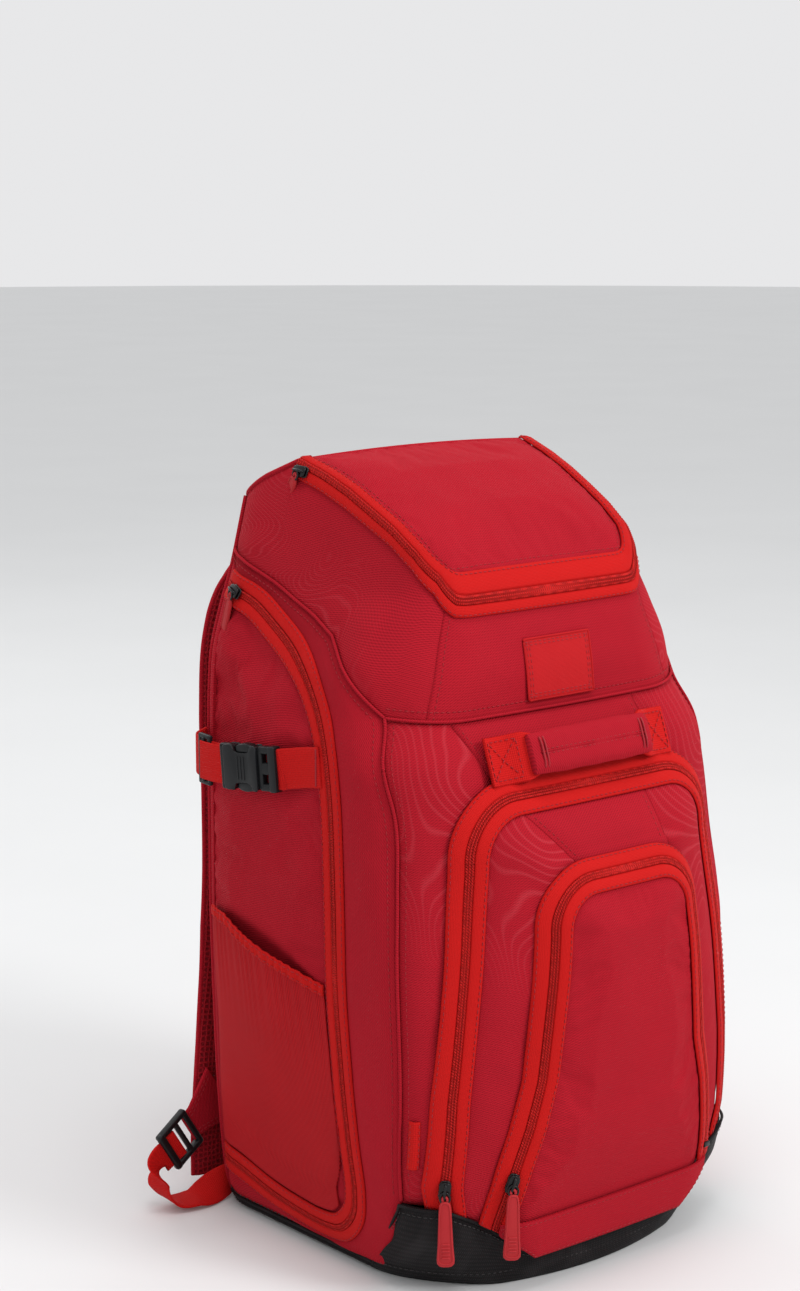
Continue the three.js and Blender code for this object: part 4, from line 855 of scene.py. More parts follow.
def boot_top(t, surface=None):
    """Height of the boot's upper edge by the way round, on the body or on the boot itself."""
    surface = surface or skin
    t = np.asarray(t, float)
    z = np.full(t.shape, 40.0)
    side_rule, front_rule = side_view(BOOT_SIDE), front_view(BOOT_FRONT)
    for _ in range(4):
        p = surface.flat(t, z)
        z = np.minimum(between(side_rule, p[..., 1]), between(front_rule, np.abs(p[..., 0])))
    return z


def base_boot(s):
    t = np.linspace(-1, 1, 361)
    top = boot_top(t, boot_skin)
    share = np.linspace(0, 1, 22)[:, None]
    z = 1.2 + (top[None] - 1.2) * share
    t = np.broadcast_to(t, z.shape)
    p = boot_skin.flat(t, z)
    p = ripple(p, 46, 0.7, 3.0)
    # the cloth is drawn in under the base and slightly full above it
    n = boot_skin.out(t, z)
    n[..., 2] = 0
    sag = np.sin(np.clip(share * 1.3, 0, 1) * math.pi) * 1.2 - 1.4 * np.clip(1 - z / 6.0, 0, 1) ** 2
    dip = np.exp(-((top[None] - z) / 4.0) ** 2) * 0.9
    p = p + n * (sag - dip)[..., None]
    sheet_piece("base_boot_cloth", [p], "coated", 2.6, ["base_boot"], "coated_cloth")
    outline = p[0]
    inner = outline * np.array([0.985, 0.985, 0])
    ring_out, ring_low = outline.copy(), outline.copy()
    ring_low[:, 2] = 0.0
    ring_low[:, :2] *= 0.988
    ring_top = inner + np.array([0, 0, 2.6])
    count = len(outline) - 1
    points = np.vstack([ring_low[:-1], ring_out[:-1] * np.array([0.992, 0.992, 1]), ring_top[:-1]])
    a = np.arange(count)
    b = (a + 1) % count
    faces = np.stack([a, b, b + count, a + count], axis=1).tolist()
    faces += np.stack([a + count, b + count, b + 2 * count, a + 2 * count], axis=1).tolist()
    faces.append(a[::-1].tolist())
    faces.append((a + 2 * count).tolist())
    add_object("base_boot_floor", points, faces, "coated", points[:, :2], slot="coated_cloth")
    # turned and sewn upper edge
    edge = boot_skin.flat(t[-1], top - 0.4) + n[-1] * 1.0
    add_object("base_boot_piping", *piped([edge], 1.2, "coated"), slot="coated_cloth")
    line = boot_skin.flat(t[-1], top - 5.5) + boot_skin.out(t[-1], top - 5.5) * 1.1
    sew_dark(line, boot_skin.out(t[-1], top - 5.5))
    floor_line = boot_skin.flat(t[-1], np.full(t.shape[1], 12.0)) + n[-1] * 0.9
    sew_dark(floor_line, n[-1])


DARK_ROWS = []


def sew_dark(path, out):
    DARK_ROWS.append((np.asarray(path, float), np.asarray(out, float)))


def piped(paths, radius, material, sides=6):
    points, faces, uvs = join_parts([tube(path, radius, sides) for path in paths])
    return points, faces, material, uvs


def both_sides(path):
    return [path, path * np.array([-1, 1, 1])]


def corner_seam(count=90, out=0.0):
    line = smooth_path(side_view(CORNER_SEAM), count)
    line = line[line[:, 1] > 74]
    return on_side(resample(line, count), out)


def yoke_line(t):
    """Height of the seam under the yoke by the way round, near the front."""
    t = np.asarray(t, float)
    z = np.full(t.shape, 400.0)
    rule = side_view(YOKE_SEAM)
    for _ in range(12):
        z = 0.5 * z + 0.5 * between(rule, skin.flat(t, z)[..., 1])
    return z


def seam_in_t(line):
    """Side view points as way round and height."""
    return np.stack([skin.t_at_y(line[:, 0], line[:, 1]), line[:, 1]], axis=1)


def top_line(t, drop):
    """Height a little under the rim by the way round."""
    t = np.asarray(t, float)
    z = np.full(t.shape, 520.0)
    for _ in range(14):
        z = 0.5 * z + 0.5 * (rim_at(skin.flat(t, z)[..., 1]) - drop)
    return z


def wall(grid, out=0.0):
    """A grid of way round and height as points on the skin."""
    return skin.flat(grid[..., 0], grid[..., 1]) + skin.out(grid[..., 0],
                                                            grid[..., 1]) * np.asarray(out)[..., None]


DOOR_PATH = smooth_path(side_view(DOOR_COIL), 500)


def door_line(inward, count, start=0.0, end=1.0):
    """The door's coil moved towards the door's middle."""
    return part_of(offset_line(DOOR_PATH, inward), start, end, count)


def share_of(path, point):
    run = lengths(path)
    return run[np.argmin(np.linalg.norm(path - point, axis=1))] / run[-1]


DOOR_TURN = share_of(DOOR_PATH, side_view([[-0.198, 0.689]])[0])
DOOR_FOOT = share_of(DOOR_PATH, side_view([[-0.436, 0.115]])[0])


def side_panels(s):
    outer_top = resample(side_view(SHOULDER_SEAM), 600)
    outer_top = outer_top[outer_top[:, 0] < BACK_SEAM * REAR_DEPTH][::-1]
    outer_front = smooth_path(side_view(CORNER_SEAM), 300)
    outer_front = outer_front[outer_front[:, 1] > 75]
    foot = np.vstack([side_view([[-0.826, 0.127], [-0.62, 0.016]]), [[BACK_SEAM * REAR_DEPTH, 9.6]]])
    n1, n2, n3 = 64, 96, 64
    outer = np.vstack([resample(outer_top, n1)[:-1], resample(outer_front, n2)[:-1], resample(foot, n3)])
    inner = np.vstack([door_line(-10.6, n1, 0, DOOR_TURN)[:-1],
                       door_line(-10.6, n2, DOOR_TURN, DOOR_FOOT)[:-1],
                       door_line(-10.6, n3, DOOR_FOOT, 1)])
    v = np.linspace(0, 1, 18)[:, None, None]
    ring = on_side(outer[None] * (1 - v) + inner[None] * v)
    ring = ripple(puff(ring, 1.8, -0.7, 8.0), 34, 1.2, 1.0)
    # the foot is drawn in under the edge of the boot
    low = ring[..., 2] < 95
    edge = boot_skin.flat(boot_skin.t_at_y(ring[low][:, 1], ring[low][:, 2]), ring[low][:, 2])[:, 0]
    slope = np.broadcast_to(v[..., 0] * 9 - 0.9, ring.shape[:2])[low]
    ring[low, 0] = np.minimum(ring[low][:, 0], edge + slope)
    rear_bottom, rear_top = inner[-1], inner[0]
    up = np.linspace(0, 1, 90)[:, None]
    left = rear_bottom + (rear_top - rear_bottom) * up
    right = outer[-1] + (outer[0] - outer[-1]) * up
    across = np.linspace(0, 1, 8)[None, :, None]
    strip_rear = on_side(left[:, None] * (1 - across) + right[:, None] * across)
    strip_rear = puff(strip_rear, 0.8, -0.8, 4.0, "lr")
    sheet_pair("side_panel", [ring, strip_rear], "twill", slot="twill")
    # piping down the corners and along the shoulder seams, topstitching beside them
    corner = corner_seam(120, 0.9)
    shoulder = on_side(resample(outer_top[::-1], 90), 0.9)
    add_object("body_piping", *piped(both_sides(corner) + both_sides(shoulder), 1.25, "twill"),
               slot="twill")
    for line, shift in ((outer_front, -6.0), (outer_top, -5.0)):
        near = offset_line(resample(line, 110), -shift)
        p = on_side(near, 1.0)
        sew_both(p, on_side(near, 2.0) - p)


def sew_both(path, out):
    flip = np.array([-1, 1, 1])
    sew(path, out)
    sew(path * flip, out * flip)


def side_doors(s):
    bottom = door_line(10.6, 70, DOOR_FOOT, 1.0)
    top = door_line(10.6, 70, 0.0, DOOR_TURN)[::-1]
    left = door_line(10.6, 96, DOOR_TURN, DOOR_FOOT)[::-1]
    right = np.linspace(bottom[-1], top[-1], 96)
    p = on_side(coons(bottom, right, top, left))
    p = puff(p, 1.4, -1.5, 14.0)
    # the door hangs from its upper edge: shallow drag lines run from the upper front corner
    yz = p[..., 1:]
    drag = (np.sin((yz[..., 0] * 0.55 + yz[..., 1] * 0.5) / 13.0) * np.exp(-((yz[..., 1] - 400) / 70) ** 2)
            * np.exp(-((yz[..., 0] - 5) / 60) ** 2))
    edge = np.clip(edge_distance(p) / 16, 0, 1)
    p = p + grid_normals(p) * (drag * 1.5 * edge)[..., None]
    p = settle(p, s.door_pressure, 0.018, 5.0)
    p = ripple(p, 48, 1.7, 7.0)
    # it stays behind the stretch pocket and the glove strap
    y, z = p[..., 1], p[..., 2]
    rest = on_side(np.stack([y, z], axis=-1))
    above = p[..., 0] - rest[..., 0]
    hem = between(side_view(HEM), y)
    under_pocket = np.clip((hem + 14 - z) / 14, 0, 1)
    near_strap = np.clip(1.6 - np.abs(z - 374) / 22, 0, 1) * np.clip((24 - y) / 20, 0, 1)
    room = 6.0 * (1 - under_pocket) * (1 - near_strap) + 0.5
    p[..., 0] -= np.maximum(above - room, 0)
    sheet_pair("side_door", [p], "twill", slot="twill")

    def place(q, across, height):
        run = np.linspace(0, 1, 900)
        side = part_of(offset_line(DOOR_PATH, across), 0, 1, 900)
        line = np.stack([np.interp(q, run, side[:, k]) for k in range(2)], axis=1)
        return on_side(line, height + 0.9)

    band_piece("side_door_zip", place, 200, "side_door_zip", mirror=True)


def stretch_pockets(s):
    inner = offset_line(smooth_path(side_view(DOOR_COIL), 400), BAND / 2 + 1.5)
    turn, foot_at = int(DOOR_TURN * 399), int(DOOR_FOOT * 399)
    front, foot = inner[turn:foot_at + 20], inner[foot_at - 6:]
    hem = smooth_path(side_view(HEM), 60)
    rows, columns = 76, 110
    across = np.linspace(0, 1, columns)[None, :]
    share = np.linspace(0, 1, rows)[:, None]
    guess = np.interp(0.05 * RIM_HEIGHT + share * 0.31 * RIM_HEIGHT, front[::-1, 1], front[::-1, 0])
    y = guess + (105.0 - guess) * across
    top = between(hem, y)
    low = np.interp(y, foot[:, 0], foot[:, 1]) + 1
    z = low + (top - low) * share
    bulge = 12.5 * np.sin(math.pi * across) * share ** 1.3
    # gathers under the elastic hem, fading downwards
    gather = np.sin(across * math.pi * 34 + np.sin(across * 21) * 1.5) * 0.55
    gather = gather * np.clip((share - 0.55) / 0.45, 0, 1)
    slack = np.sin(across * 8.4 + share * 5.1) * 0.8 * np.sin(math.pi * np.clip(share, 0, 1))
    p = on_side(np.stack([y, z], axis=-1), 1.4 + bulge + gather + slack)
    sheet_pair("side_pocket", [p], "stretch", 1.1, slot="stretch_mesh")
    edge = p[-1] + grid_normals(p)[-1] * 0.2
    binding = ribbon(edge, np.repeat([[0.0, 0.0, 1.0]], len(edge), axis=0), 9.0, 2.4, "binding")
    both_objects("side_pocket_hem", [binding], "webbing", "webbing")
    for shift in (-2.6, 2.6):
        line = edge + np.array([1.5, 0, shift])
        sew_both(line, np.repeat([[1.0, 0, 0]], len(line), axis=0))


def both_objects(name, parts, material, slot, replaces=None):
    """One object for the right side and its mirror image for the left."""
    points, faces, uvs = join_parts(parts)
    for side, sign in (("right", 1), ("left", -1)):
        p = points * np.array([sign, 1, 1])
        f = faces if sign > 0 else [face[::-1] for face in faces]
        piece = add_object(f"{name}_{side}", p, f, material, uvs, slot=slot)
        if replaces:
            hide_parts(f"{replaces}_{side}")


SECTIONS = {
    "webbing": [(-1, -0.35), (-0.97, 0.4), (-0.9, 0.5), (-0.55, 0.5), (-0.2, 0.5), (0.2, 0.5), (0.55, 0.5),
                (0.9, 0.5),
                (0.97, 0.4), (1, -0.35), (0.93, -0.5), (0.5, -0.5), (0, -0.5), (-0.5, -0.5), (-0.93, -0.5)],
    "binding": [(-1, 0), (-0.8, 0.42), (-0.3, 0.55), (0.3, 0.55), (0.8, 0.42), (1, 0), (0.8, -0.42),
                (0.3, -0.5),
                (-0.3, -0.5), (-0.8, -0.42)],
    "padded": [(-1, 0), (-0.99, 0.14), (-0.93, 0.2), (-0.86, 0.32), (-0.7, 0.44), (-0.45, 0.5),
               (-0.15, 0.5),
               (0.15, 0.5), (0.45, 0.5), (0.7, 0.44), (0.86, 0.32), (0.93, 0.2), (0.99, 0.14), (1, 0),
               (0.99, -0.14), (0.93, -0.2), (0.86, -0.32), (0.7, -0.44), (0.45, -0.5), (0.15, -0.5),
               (-0.15, -0.5),
               (-0.45, -0.5), (-0.7, -0.44), (-0.86, -0.32), (-0.93, -0.2), (-0.99, -0.14)],
}


def ribbon(path, across, width, thickness, section):
    """A strap along a path. across gives its width direction, width may change along it."""
    path, across = np.asarray(path, float), np.asarray(across, float)
    tangent = np.gradient(path, axis=0)
    tangent /= np.linalg.norm(tangent, axis=1, keepdims=True)
    side = across - tangent * np.sum(across * tangent, axis=1, keepdims=True)
    side /= np.linalg.norm(side, axis=1, keepdims=True)
    up = np.cross(side, tangent)
    half = np.broadcast_to(np.asarray(width, float) / 2, (len(path),))
    thick = np.broadcast_to(np.asarray(thickness, float), (len(path),))
    shape = SECTIONS[section]
    k = len(shape)
    points = np.stack([path + side * (x * half)[:, None] + up * (y * thick)[:, None] for x, y in shape],
                      axis=1)
    index = np.arange(len(path) * k).reshape(len(path), k)
    after = np.roll(index, -1, axis=1)
    faces = np.stack([index[:-1], after[:-1], after[1:], index[1:]], axis=-1).reshape(-1, 4).tolist()
    faces.append(index[0][::-1].tolist())
    faces.append(index[-1].tolist())
    run = lengths(path)
    u = np.array([x for x, _ in shape])[None, :] * half[:, None]
    uv = np.stack([u, np.broadcast_to(run[:, None], u.shape)], axis=-1).reshape(-1, 2)
    flat = points.reshape(-1, 3)
    centre_face = np.cross(points[1, 1] - points[0, 1], points[0, 2] - points[0, 1])
    if np.dot(centre_face, up[0] * shape[1][1]) > 0:
        faces = [face[::-1] for face in faces]
    return flat, faces, uv


def rounded_outline(width, height, radius, steps=5):
    points = []
    for cx, cy, a0 in ((1, 1, 0), (-1, 1, 90), (-1, -1, 180), (1, -1, 270)):
        for i in range(steps + 1):
            a = math.radians(a0 + 90 * i / steps)
            points.append((cx * (width / 2 - radius) + radius * math.cos(a),
                           cy * (height / 2 - radius) + radius * math.sin(a)))
    return np.array(points)


def block(outline, thickness, bevel, place):
    """A plate with rounded edges. place turns local points (right, up, out) into the scene."""
    outline = np.asarray(outline, float)
    centre = outline.mean(axis=0)
    size = np.abs(outline - centre).max(axis=0)
    rings = []
    for inset, height in ((bevel, 0), (bevel * 0.3, bevel * 0.3), (0, bevel), (0, thickness - bevel),
                          (bevel * 0.3, thickness - bevel * 0.3), (bevel, thickness)):
        scale = (size - inset) / size
        flat = centre + (outline - centre) * scale
        rings.append(np.column_stack([flat, np.full(len(flat), height)]))
    k = len(outline)
    points = np.concatenate(rings)
    index = np.arange(len(rings) * k).reshape(len(rings), k)
    after = np.roll(index, -1, axis=1)
    faces = np.stack([index[:-1], after[:-1], after[1:], index[1:]], axis=-1).reshape(-1, 4).tolist()
    faces.append(index[0][::-1].tolist())
    faces.append(index[-1].tolist())
    return place(points), faces, points[:, :2]


def placing(origin, up, out):
    """Local right, up and out directions at an origin."""
    origin, up, out = (np.asarray(v, float) for v in (origin, up, out))
    up = up / np.linalg.norm(up)
    out = out - up * np.dot(out, up)
    out = out / np.linalg.norm(out)
    right = np.cross(up, out)

    def place(points):
        return origin + points[:, :1] * right + points[:, 1:2] * up + points[:, 2:3] * out

    return place


def shifted(place, x=0.0, y=0.0, z=0.0):
    return lambda points: place(points + np.array([x, y, z]))


# Glove straps

GLOVE_PATH = [
    [-0.215, 0.645, 0.02], [-0.10, 0.641, 0.12], [0.09, 0.633, 0.50], [0.37, 0.627, 0.90],
    [0.60, 0.625, 1.00], [0.78, 0.625, 0.70], [0.90, 0.625, 0.05],
]


def glove_straps(s):
    places = side_view([[a, b] for a, b, _ in GLOVE_PATH])
    held = places.copy()
    held[:, 0] = np.minimum(held[:, 0], 0.86 * REAR_DEPTH)
    slack = np.array([c for _, _, c in GLOVE_PATH])
    out = on_side(held, 1.0) - on_side(held)
    base = on_side(places)
    path = smooth_path(base + out * (1.9 + slack * 16)[:, None], 240)
    run = lengths(path)
    total = run[-1]
    tangent = np.gradient(path, axis=0)
    tangent /= np.linalg.norm(tangent, axis=1, keepdims=True)

    def at(values, distance):
        return np.array([np.interp(distance, run, values[:, k]) for k in range(3)])

    middle = 0.375 * total
    line = at(tangent, middle)
    centre = at(path, middle)
    z_up = np.array([0.0, 0.0, 1.0])
    front = [at(path, d) for d in np.linspace(0, middle - 26, 30)]
    front = np.array(front + [centre - line * d for d in (24, 20)])
    rear = [centre + line * d for d in (24, 28, 33)] + [at(path, d)
                                                        for d in np.linspace(middle + 38, total, 60)]
    rear = np.array(rear)
    for name, webbing in (("glove_strap_front", front), ("glove_strap_rear", rear)):
        part = ribbon(webbing, np.repeat([z_up], len(webbing), axis=0), 30.0, 2.0, "webbing")
        both_objects(name + "_webbing", [part], "webbing", "webbing", name)
    # loose end that comes back through the adjuster
    tail = np.array([at(path, d) for d in np.linspace(middle + 30, middle + 60, 20)])
    normal = np.cross(line, z_up)
    tail = tail + normal * np.linspace(2.6, 4.2, 20)[:, None]
    both_objects("glove_strap_tail", [ribbon(tail, np.repeat([z_up], 20, axis=0), 29.0, 1.8, "webbing")],
                 "webbing", "webbing")
    place = placing(centre, line, normal)
    # local: up runs towards the rear, right is downwards or upwards, out stands off the bag
    plug = [
        block(rounded_outline(34, 7, 1.6), 8.4, 1.2, shifted(place, 0, -18.0, -4.2)),
        block(rounded_outline(31, 4.2, 1.6), 6.0, 1.0, shifted(place, 0, -6.0, -3.0)),
        block(rounded_outline(5.5, 14, 1.6), 6.2, 1.2, shifted(place, -13.8, -12.0, -3.1)),
        block(rounded_outline(5.5, 14, 1.6), 6.2, 1.2, shifted(place, 13.8, -12.0, -3.1)),
        block(rounded_outline(9, 14, 1.8), 5.4, 1.2, shifted(place, 0, -10.0, -2.7)),
    ]
    grip_shape = np.array([[-3.0, -8], [1.6, -8.6], [3.6, -5], [4.2, 0], [3.6, 5], [1.6, 8.6], [-3.0, 8]])
    plug += [
        block(grip_shape * [1, 1], 8.0, 1.4, shifted(place, 13.8, 8.0, -4.0)),
        block(grip_shape * [-1, 1], 8.0, 1.4, shifted(place, -13.8, 8.0, -4.0)),
    ]
    shell_shape = np.array([
        [-17, -4.5], [-15.5, -5.8], [15.5, -5.8], [17, -4.5], [17, -1.2], [12.4, 0.6], [11.2, 4],
        [11.2, 12],
        [12.4, 15.4], [17, 17.4], [17, 24.5], [15.5, 27], [-15.5, 27], [-17, 24.5], [-17, 17.4],
        [-12.4, 15.4],
        [-11.2, 12], [-11.2, 4], [-12.4, 0.6], [-17, -1.2],
    ])
    socket = [
        block(shell_shape, 2.3, 0.9, shifted(place, 0, 1.8, 3.0)),
        block(shell_shape, 2.3, 0.9, shifted(place, 0, 1.8, -5.3)),
        block(rounded_outline(33, 6, 1.5), 9.6, 1.0, shifted(place, 0, 21.5, -4.8)),
        block(rounded_outline(32, 2.4, 1.0), 9.0, 0.8, shifted(place, 0, -2.8, -4.5)),
        block(rounded_outline(34, 4.6, 1.8), 6.4, 1.2, shifted(place, 0, 31.0, -3.2)),
        block(rounded_outline(3.4, 12, 1.4), 6.4, 1.0, shifted(place, -15.3, 27.0, -3.2)),
        block(rounded_outline(3.4, 12, 1.4), 6.4, 1.0, shifted(place, 15.3, 27.0, -3.2)),
        block(rounded_outline(18, 1.0, 0.4), 0.6, 0.2, shifted(place, 0, 8.0, 5.1)),
        block(rounded_outline(18, 1.0, 0.4), 0.6, 0.2, shifted(place, 0, 11.0, 5.1)),
        block(rounded_outline(18, 1.0, 0.4), 0.6, 0.2, shifted(place, 0, 14.0, 5.1)),
    ]
    both_objects("glove_buckle_plug_moulding", plug, "plastic", "buckle_plastic", "glove_buckle_plug")
    both_objects("glove_buckle_socket_moulding", socket, "plastic", "buckle_plastic", "glove_buckle_socket")
    spot, way = at(path, middle + 56), at(tangent, middle + 56)
    place = placing(spot, way, np.cross(way, z_up))
    adjuster = [
        block(rounded_outline(38, 3.4, 1.2), 3.6, 0.9, shifted(place, 0, -6.6, -0.6)),
        block(rounded_outline(38, 3.4, 1.2), 3.6, 0.9, shifted(place, 0, 6.6, -0.6)),
        block(rounded_outline(34, 2.8, 1.2), 2.6, 0.9, shifted(place, 0, 0, 1.6)),
        block(rounded_outline(3.4, 16, 1.4), 3.6, 0.9, shifted(place, -17.4, 0, -0.6)),
        block(rounded_outline(3.4, 16, 1.4), 3.6, 0.9, shifted(place, 17.4, 0, -0.6)),
    ]
    both_objects("glove_strap_adjuster_moulding", adjuster, "plastic", "buckle_plastic",
                 "glove_strap_adjuster")
    # bar tacks where the webbing enters the front and rear seams
    for d in (3.0, total - 9.0):
        p, way = at(path, d), at(tangent, d)
        tack = p + np.linspace(-13.5, 13.5, 30)[:, None] * z_up + np.cross(way, z_up) * 1.2
        both_objects(f"glove_strap_tack_{int(d)}", [tube(tack, 0.7, 6)], "thread", "webbing")


# Front panel, yoke, shoulders and lid

def upright_seam(points, count=60):
    """A seam drawn on the front by x and z, as way round and height."""
    line = resample(np.asarray(points, float), count)
    return np.stack([skin.t_at_x(line[:, 0], line[:, 1]), line[:, 1]], axis=1)


def strip_between(left, right, bottom_rule, top_rule, rows, columns):
    """A grid of way round and height between two upright seams."""
    v = np.linspace(0, 1, rows)

    def edge(line):
        t0 = line[np.argmin(line[:, 1]), 0]
        t1 = line[np.argmax(line[:, 1]), 0]
        z0, z1 = float(bottom_rule(np.array([t0]))[0]), float(top_rule(np.array([t1]))[0])
        z = z0 + (z1 - z0) * v
        order = np.argsort(line[:, 1])
        return np.stack([np.interp(z, line[order, 1], line[order, 0]), z], axis=1)

    a, b = edge(left), edge(right)
    u = np.linspace(0, 1, columns)
    bottom_t = a[0, 0] + (b[0, 0] - a[0, 0]) * u
    top_t = a[-1, 0] + (b[-1, 0] - a[-1, 0]) * u
    bottom = np.stack([bottom_t, bottom_rule(bottom_t)], axis=1)
    top = np.stack([top_t, top_rule(top_t)], axis=1)
    return coons(bottom, b, top, a)


def front_panels(s):
    corner = smooth_path(side_view(CORNER_SEAM), 200)
    corner = corner[corner[:, 1] > 74]
    right = seam_in_t(corner)
    left = right * [-1, 1]
    seam_left = upright_seam([[-106, 430], [-104, 414], [-76, 364], [-62, 330], [-60, 20]], 200)
    seam_right = upright_seam([[72, 430], [73, 410], [82, 380], [84, 330], [70, 20]], 200)
    grids = [strip_between(a, b, boot_top, yoke_line, 80, n)
             for a, b, n in ((left, seam_left, 48), (seam_left, seam_right, 48), (seam_right, right, 48))]
    made = []
    for k, grid in enumerate(grids):
        p = wall(grid)
        p = puff(p, 1.6, -1.2, 10.0)
        p = ripple(p, 40, 1.2, 11.0 + k)
        made.append(p)
    sheet_piece("front_panel_printed", [made[0], made[2]], "printed", 2.6, ["front_panel"], "printed_twill")
    sheet_piece("front_panel_middle", [made[1]], "twill", 2.6, (), "twill")
    sew_grid_edge(made[1], "l", 5.0)
    sew_grid_edge(made[1], "r", 5.0)
    sew_grid_edge(made[0], "l", 6.0)
    sew_grid_edge(made[2], "r", 6.0)
    # yoke seam with its piping, and the stitching above it
    t = np.linspace(left[np.argmax(left[:, 1]), 0], right[np.argmax(right[:, 1]), 0], 160)
    z = yoke_line(t)
    seam = np.stack([t, z], axis=1)
    add_object("yoke_piping", *piped([wall(seam, 0.8)], 1.2, "twill"), slot="twill")
    above = np.stack([t, z + 6.5], axis=1)
    sew(wall(above, 1.0), skin.out(above[:, 0], above[:, 1]))


def yoke_and_shoulders(s):
    right = upright_seam(front_view(YOKE_SIDE))
    left = right * [-1, 1]
    corner = side_view([CORNER])[0]

    def below_lid(t):
        return top_line(t, LID_WALL - 4.0)

    p = wall(strip_between(left, right, yoke_line, below_lid, 54, 110))
    p = ripple(puff(p, 2.0, -0.9, 11.0), 44, 1.4, 21.0)
    sheet_piece("yoke_cloth", [p], "twill", 2.6, ["yoke"], "twill")
    sew_grid_edge(p, "l", 5.5)
    sew_grid_edge(p, "r", 5.5)
    # shoulder: front and lower seams, then back along the side to the back seam
    shoulder = resample(side_view(SHOULDER_SEAM), 400)
    shoulder = seam_in_t(shoulder[shoulder[:, 0] <= BACK_SEAM * REAR_DEPTH])
    start_t = float(right[np.argmin(right[:, 1]), 0])
    corner_t = float(skin.t_at_y(corner[0], corner[1]))
    rear_t = float(shoulder[-1, 0])

    def lower(t):
        return np.where(t < corner_t, yoke_line(t), np.interp(t, shoulder[:, 0], shoulder[:, 1]))

    rear_z = np.linspace(lower(np.array([rear_t]))[0], 560, 60)
    rear = np.stack([skin.t_at_y(np.full(60, BACK_SEAM * REAR_DEPTH), rear_z), rear_z], axis=1)

    def upper(t):
        z = np.full(np.shape(t), 520.0)
        for _ in range(14):
            y = skin.flat(t, z)[..., 1]
            drop = np.where(y < LID_REAR * REAR_DEPTH, LID_WALL - 4.0, 0.4)
            z = 0.5 * z + 0.5 * (rim_at(y) - drop)
        return z

    p = wall(strip_between(right, rear, lower, upper, 44, 140))
    p = ripple(puff(p, 1.9, -0.9, 10.0), 40, 1.3, 31.0)
    sheet_pair("shoulder_panel", [p], "printed", slot="printed_twill")
    # turned edge of the sleeve mouths, from the lid round the back
    y = np.linspace(LID_REAR * REAR_DEPTH + 1, BACK_SEAM * REAR_DEPTH, 50)
    z = rim_at(y)
    edge = on_side(np.stack([y, z - 0.5], axis=1), -1.0)
    t = np.linspace(float(rear[-1, 0]), 1, 40)
    back_z = top_line(t, 0.5)
    back = wall(np.stack([t, back_z], axis=1), -1.0)
    whole = np.vstack([edge, back[1:]])
    both_objects("sleeve_mouth_binding", [tube(resample(whole, 110), 2.2, 8)], "twill", "twill")


def lid_ways(count):
    """The way round, from the lid's right rear corner over the front to its left rear corner."""
    t = np.linspace(0, 0.75, 500)
    y = skin.flat(t, top_line(t, 0.0))[:, 1]
    end = float(np.interp(LID_REAR * REAR_DEPTH, y, t))
    return np.linspace(end, -end, count)


def rim_outline(count):
    """Points of the lid's edge and the level directions away from the bag."""
    t = lid_ways(count)
    z = top_line(np.abs(t), 0.0)
    n = skin.out(t, z)
    n[:, 2] = 0
    n /= np.linalg.norm(n, axis=1, keepdims=True)
    return skin.flat(t, z), n


def lid_height(x, y):
    return rim_at(y) + LID_CROWN * np.maximum(0, 1 - (x / (0.74 * HALF_WIDTH)) ** 2)


def lid_pieces(s):
    p, n = rim_outline(481)
    edge = p - n * 9.2
    edge = edge[::-1]  # from the left rear round the front to the right rear
    a, b = 150, 330
    front = resample(edge[a:b + 1], 90)
    left = resample(edge[:a + 1], 76)[::-1]
    right = resample(edge[b:], 76)
    rear = np.stack([np.linspace(left[-1, 0], right[-1, 0], 90),
                     np.linspace(left[-1, 1], right[-1, 1], 90)], axis=1)
    grid = coons(front[:, :2], right[:, :2], rear, left[:, :2])
    z = lid_height(grid[..., 0], grid[..., 1])
    p3 = np.concatenate([grid, z[..., None]], axis=-1)
    p3 = puff(p3, 3.4, -0.6, 24.0)
    p3 = settle(p3, s.lid_pressure, 0.012, 5.0)
    p3 = ripple(p3, 52, 2.0, 41.0)
    sheet_piece("lid_cloth", [p3], "twill", 2.6, ["lid"], "twill")
    for side in "lbr":
        sew_grid_edge(p3, side, 5.0)
    rear_edge = p3[-1] + np.array([0, 0.4, -0.6])
    add_object("lid_rear_binding", *piped([rear_edge], 1.9, "twill"), slot="twill")

    base, way = rim_outline(900)
    round_way = lid_ways(900)
    lines = []
    for down in np.arange(-3.0, 26.1, 0.5):
        if down < 10:
            line = base - way * (10 - down)
            line[:, 2] = lid_height(line[:, 0], line[:, 1])
        else:
            line = skin.flat(round_way, base[:, 2] - (down - 10))
        lines.append(line)
    lines = np.array(lines)
    # the fold over the edge is rounded
    soft = np.array([lines[max(i - 7, 0):i + 8].mean(axis=0) for i in range(len(lines))])
    table = soft[6:-6]
    out = np.cross(np.gradient(table, axis=0), np.gradient(table, axis=1))
    out /= np.maximum(np.linalg.norm(out, axis=-1, keepdims=True), 1e-9)
    if out[5, 450, 2] < 0:
        out = -out
    share = np.linspace(0, 1, 900)

    def place(q, across, height):
        k = np.clip((across + 11.5) * 2, 0, len(table) - 1.001)
        i = int(k)
        f = k - i
        spot = table[i] * (1 - f) + table[i + 1] * f
        away = out[i] * (1 - f) + out[i + 1] * f
        spot, away = (np.stack([np.interp(q, share, v[:, c]) for c in range(3)], axis=1)
                      for v in (spot, away))
        return spot + away * (1.4 + np.broadcast_to(height, q.shape))[:, None]

    band_piece("lid_zip", place, 240, "lid_zip")


# Pockets

def half_at(arch, z):
    return between(arch["legs"], np.asarray(z) / RIM_HEIGHT) * HALF_WIDTH + BAND / 2


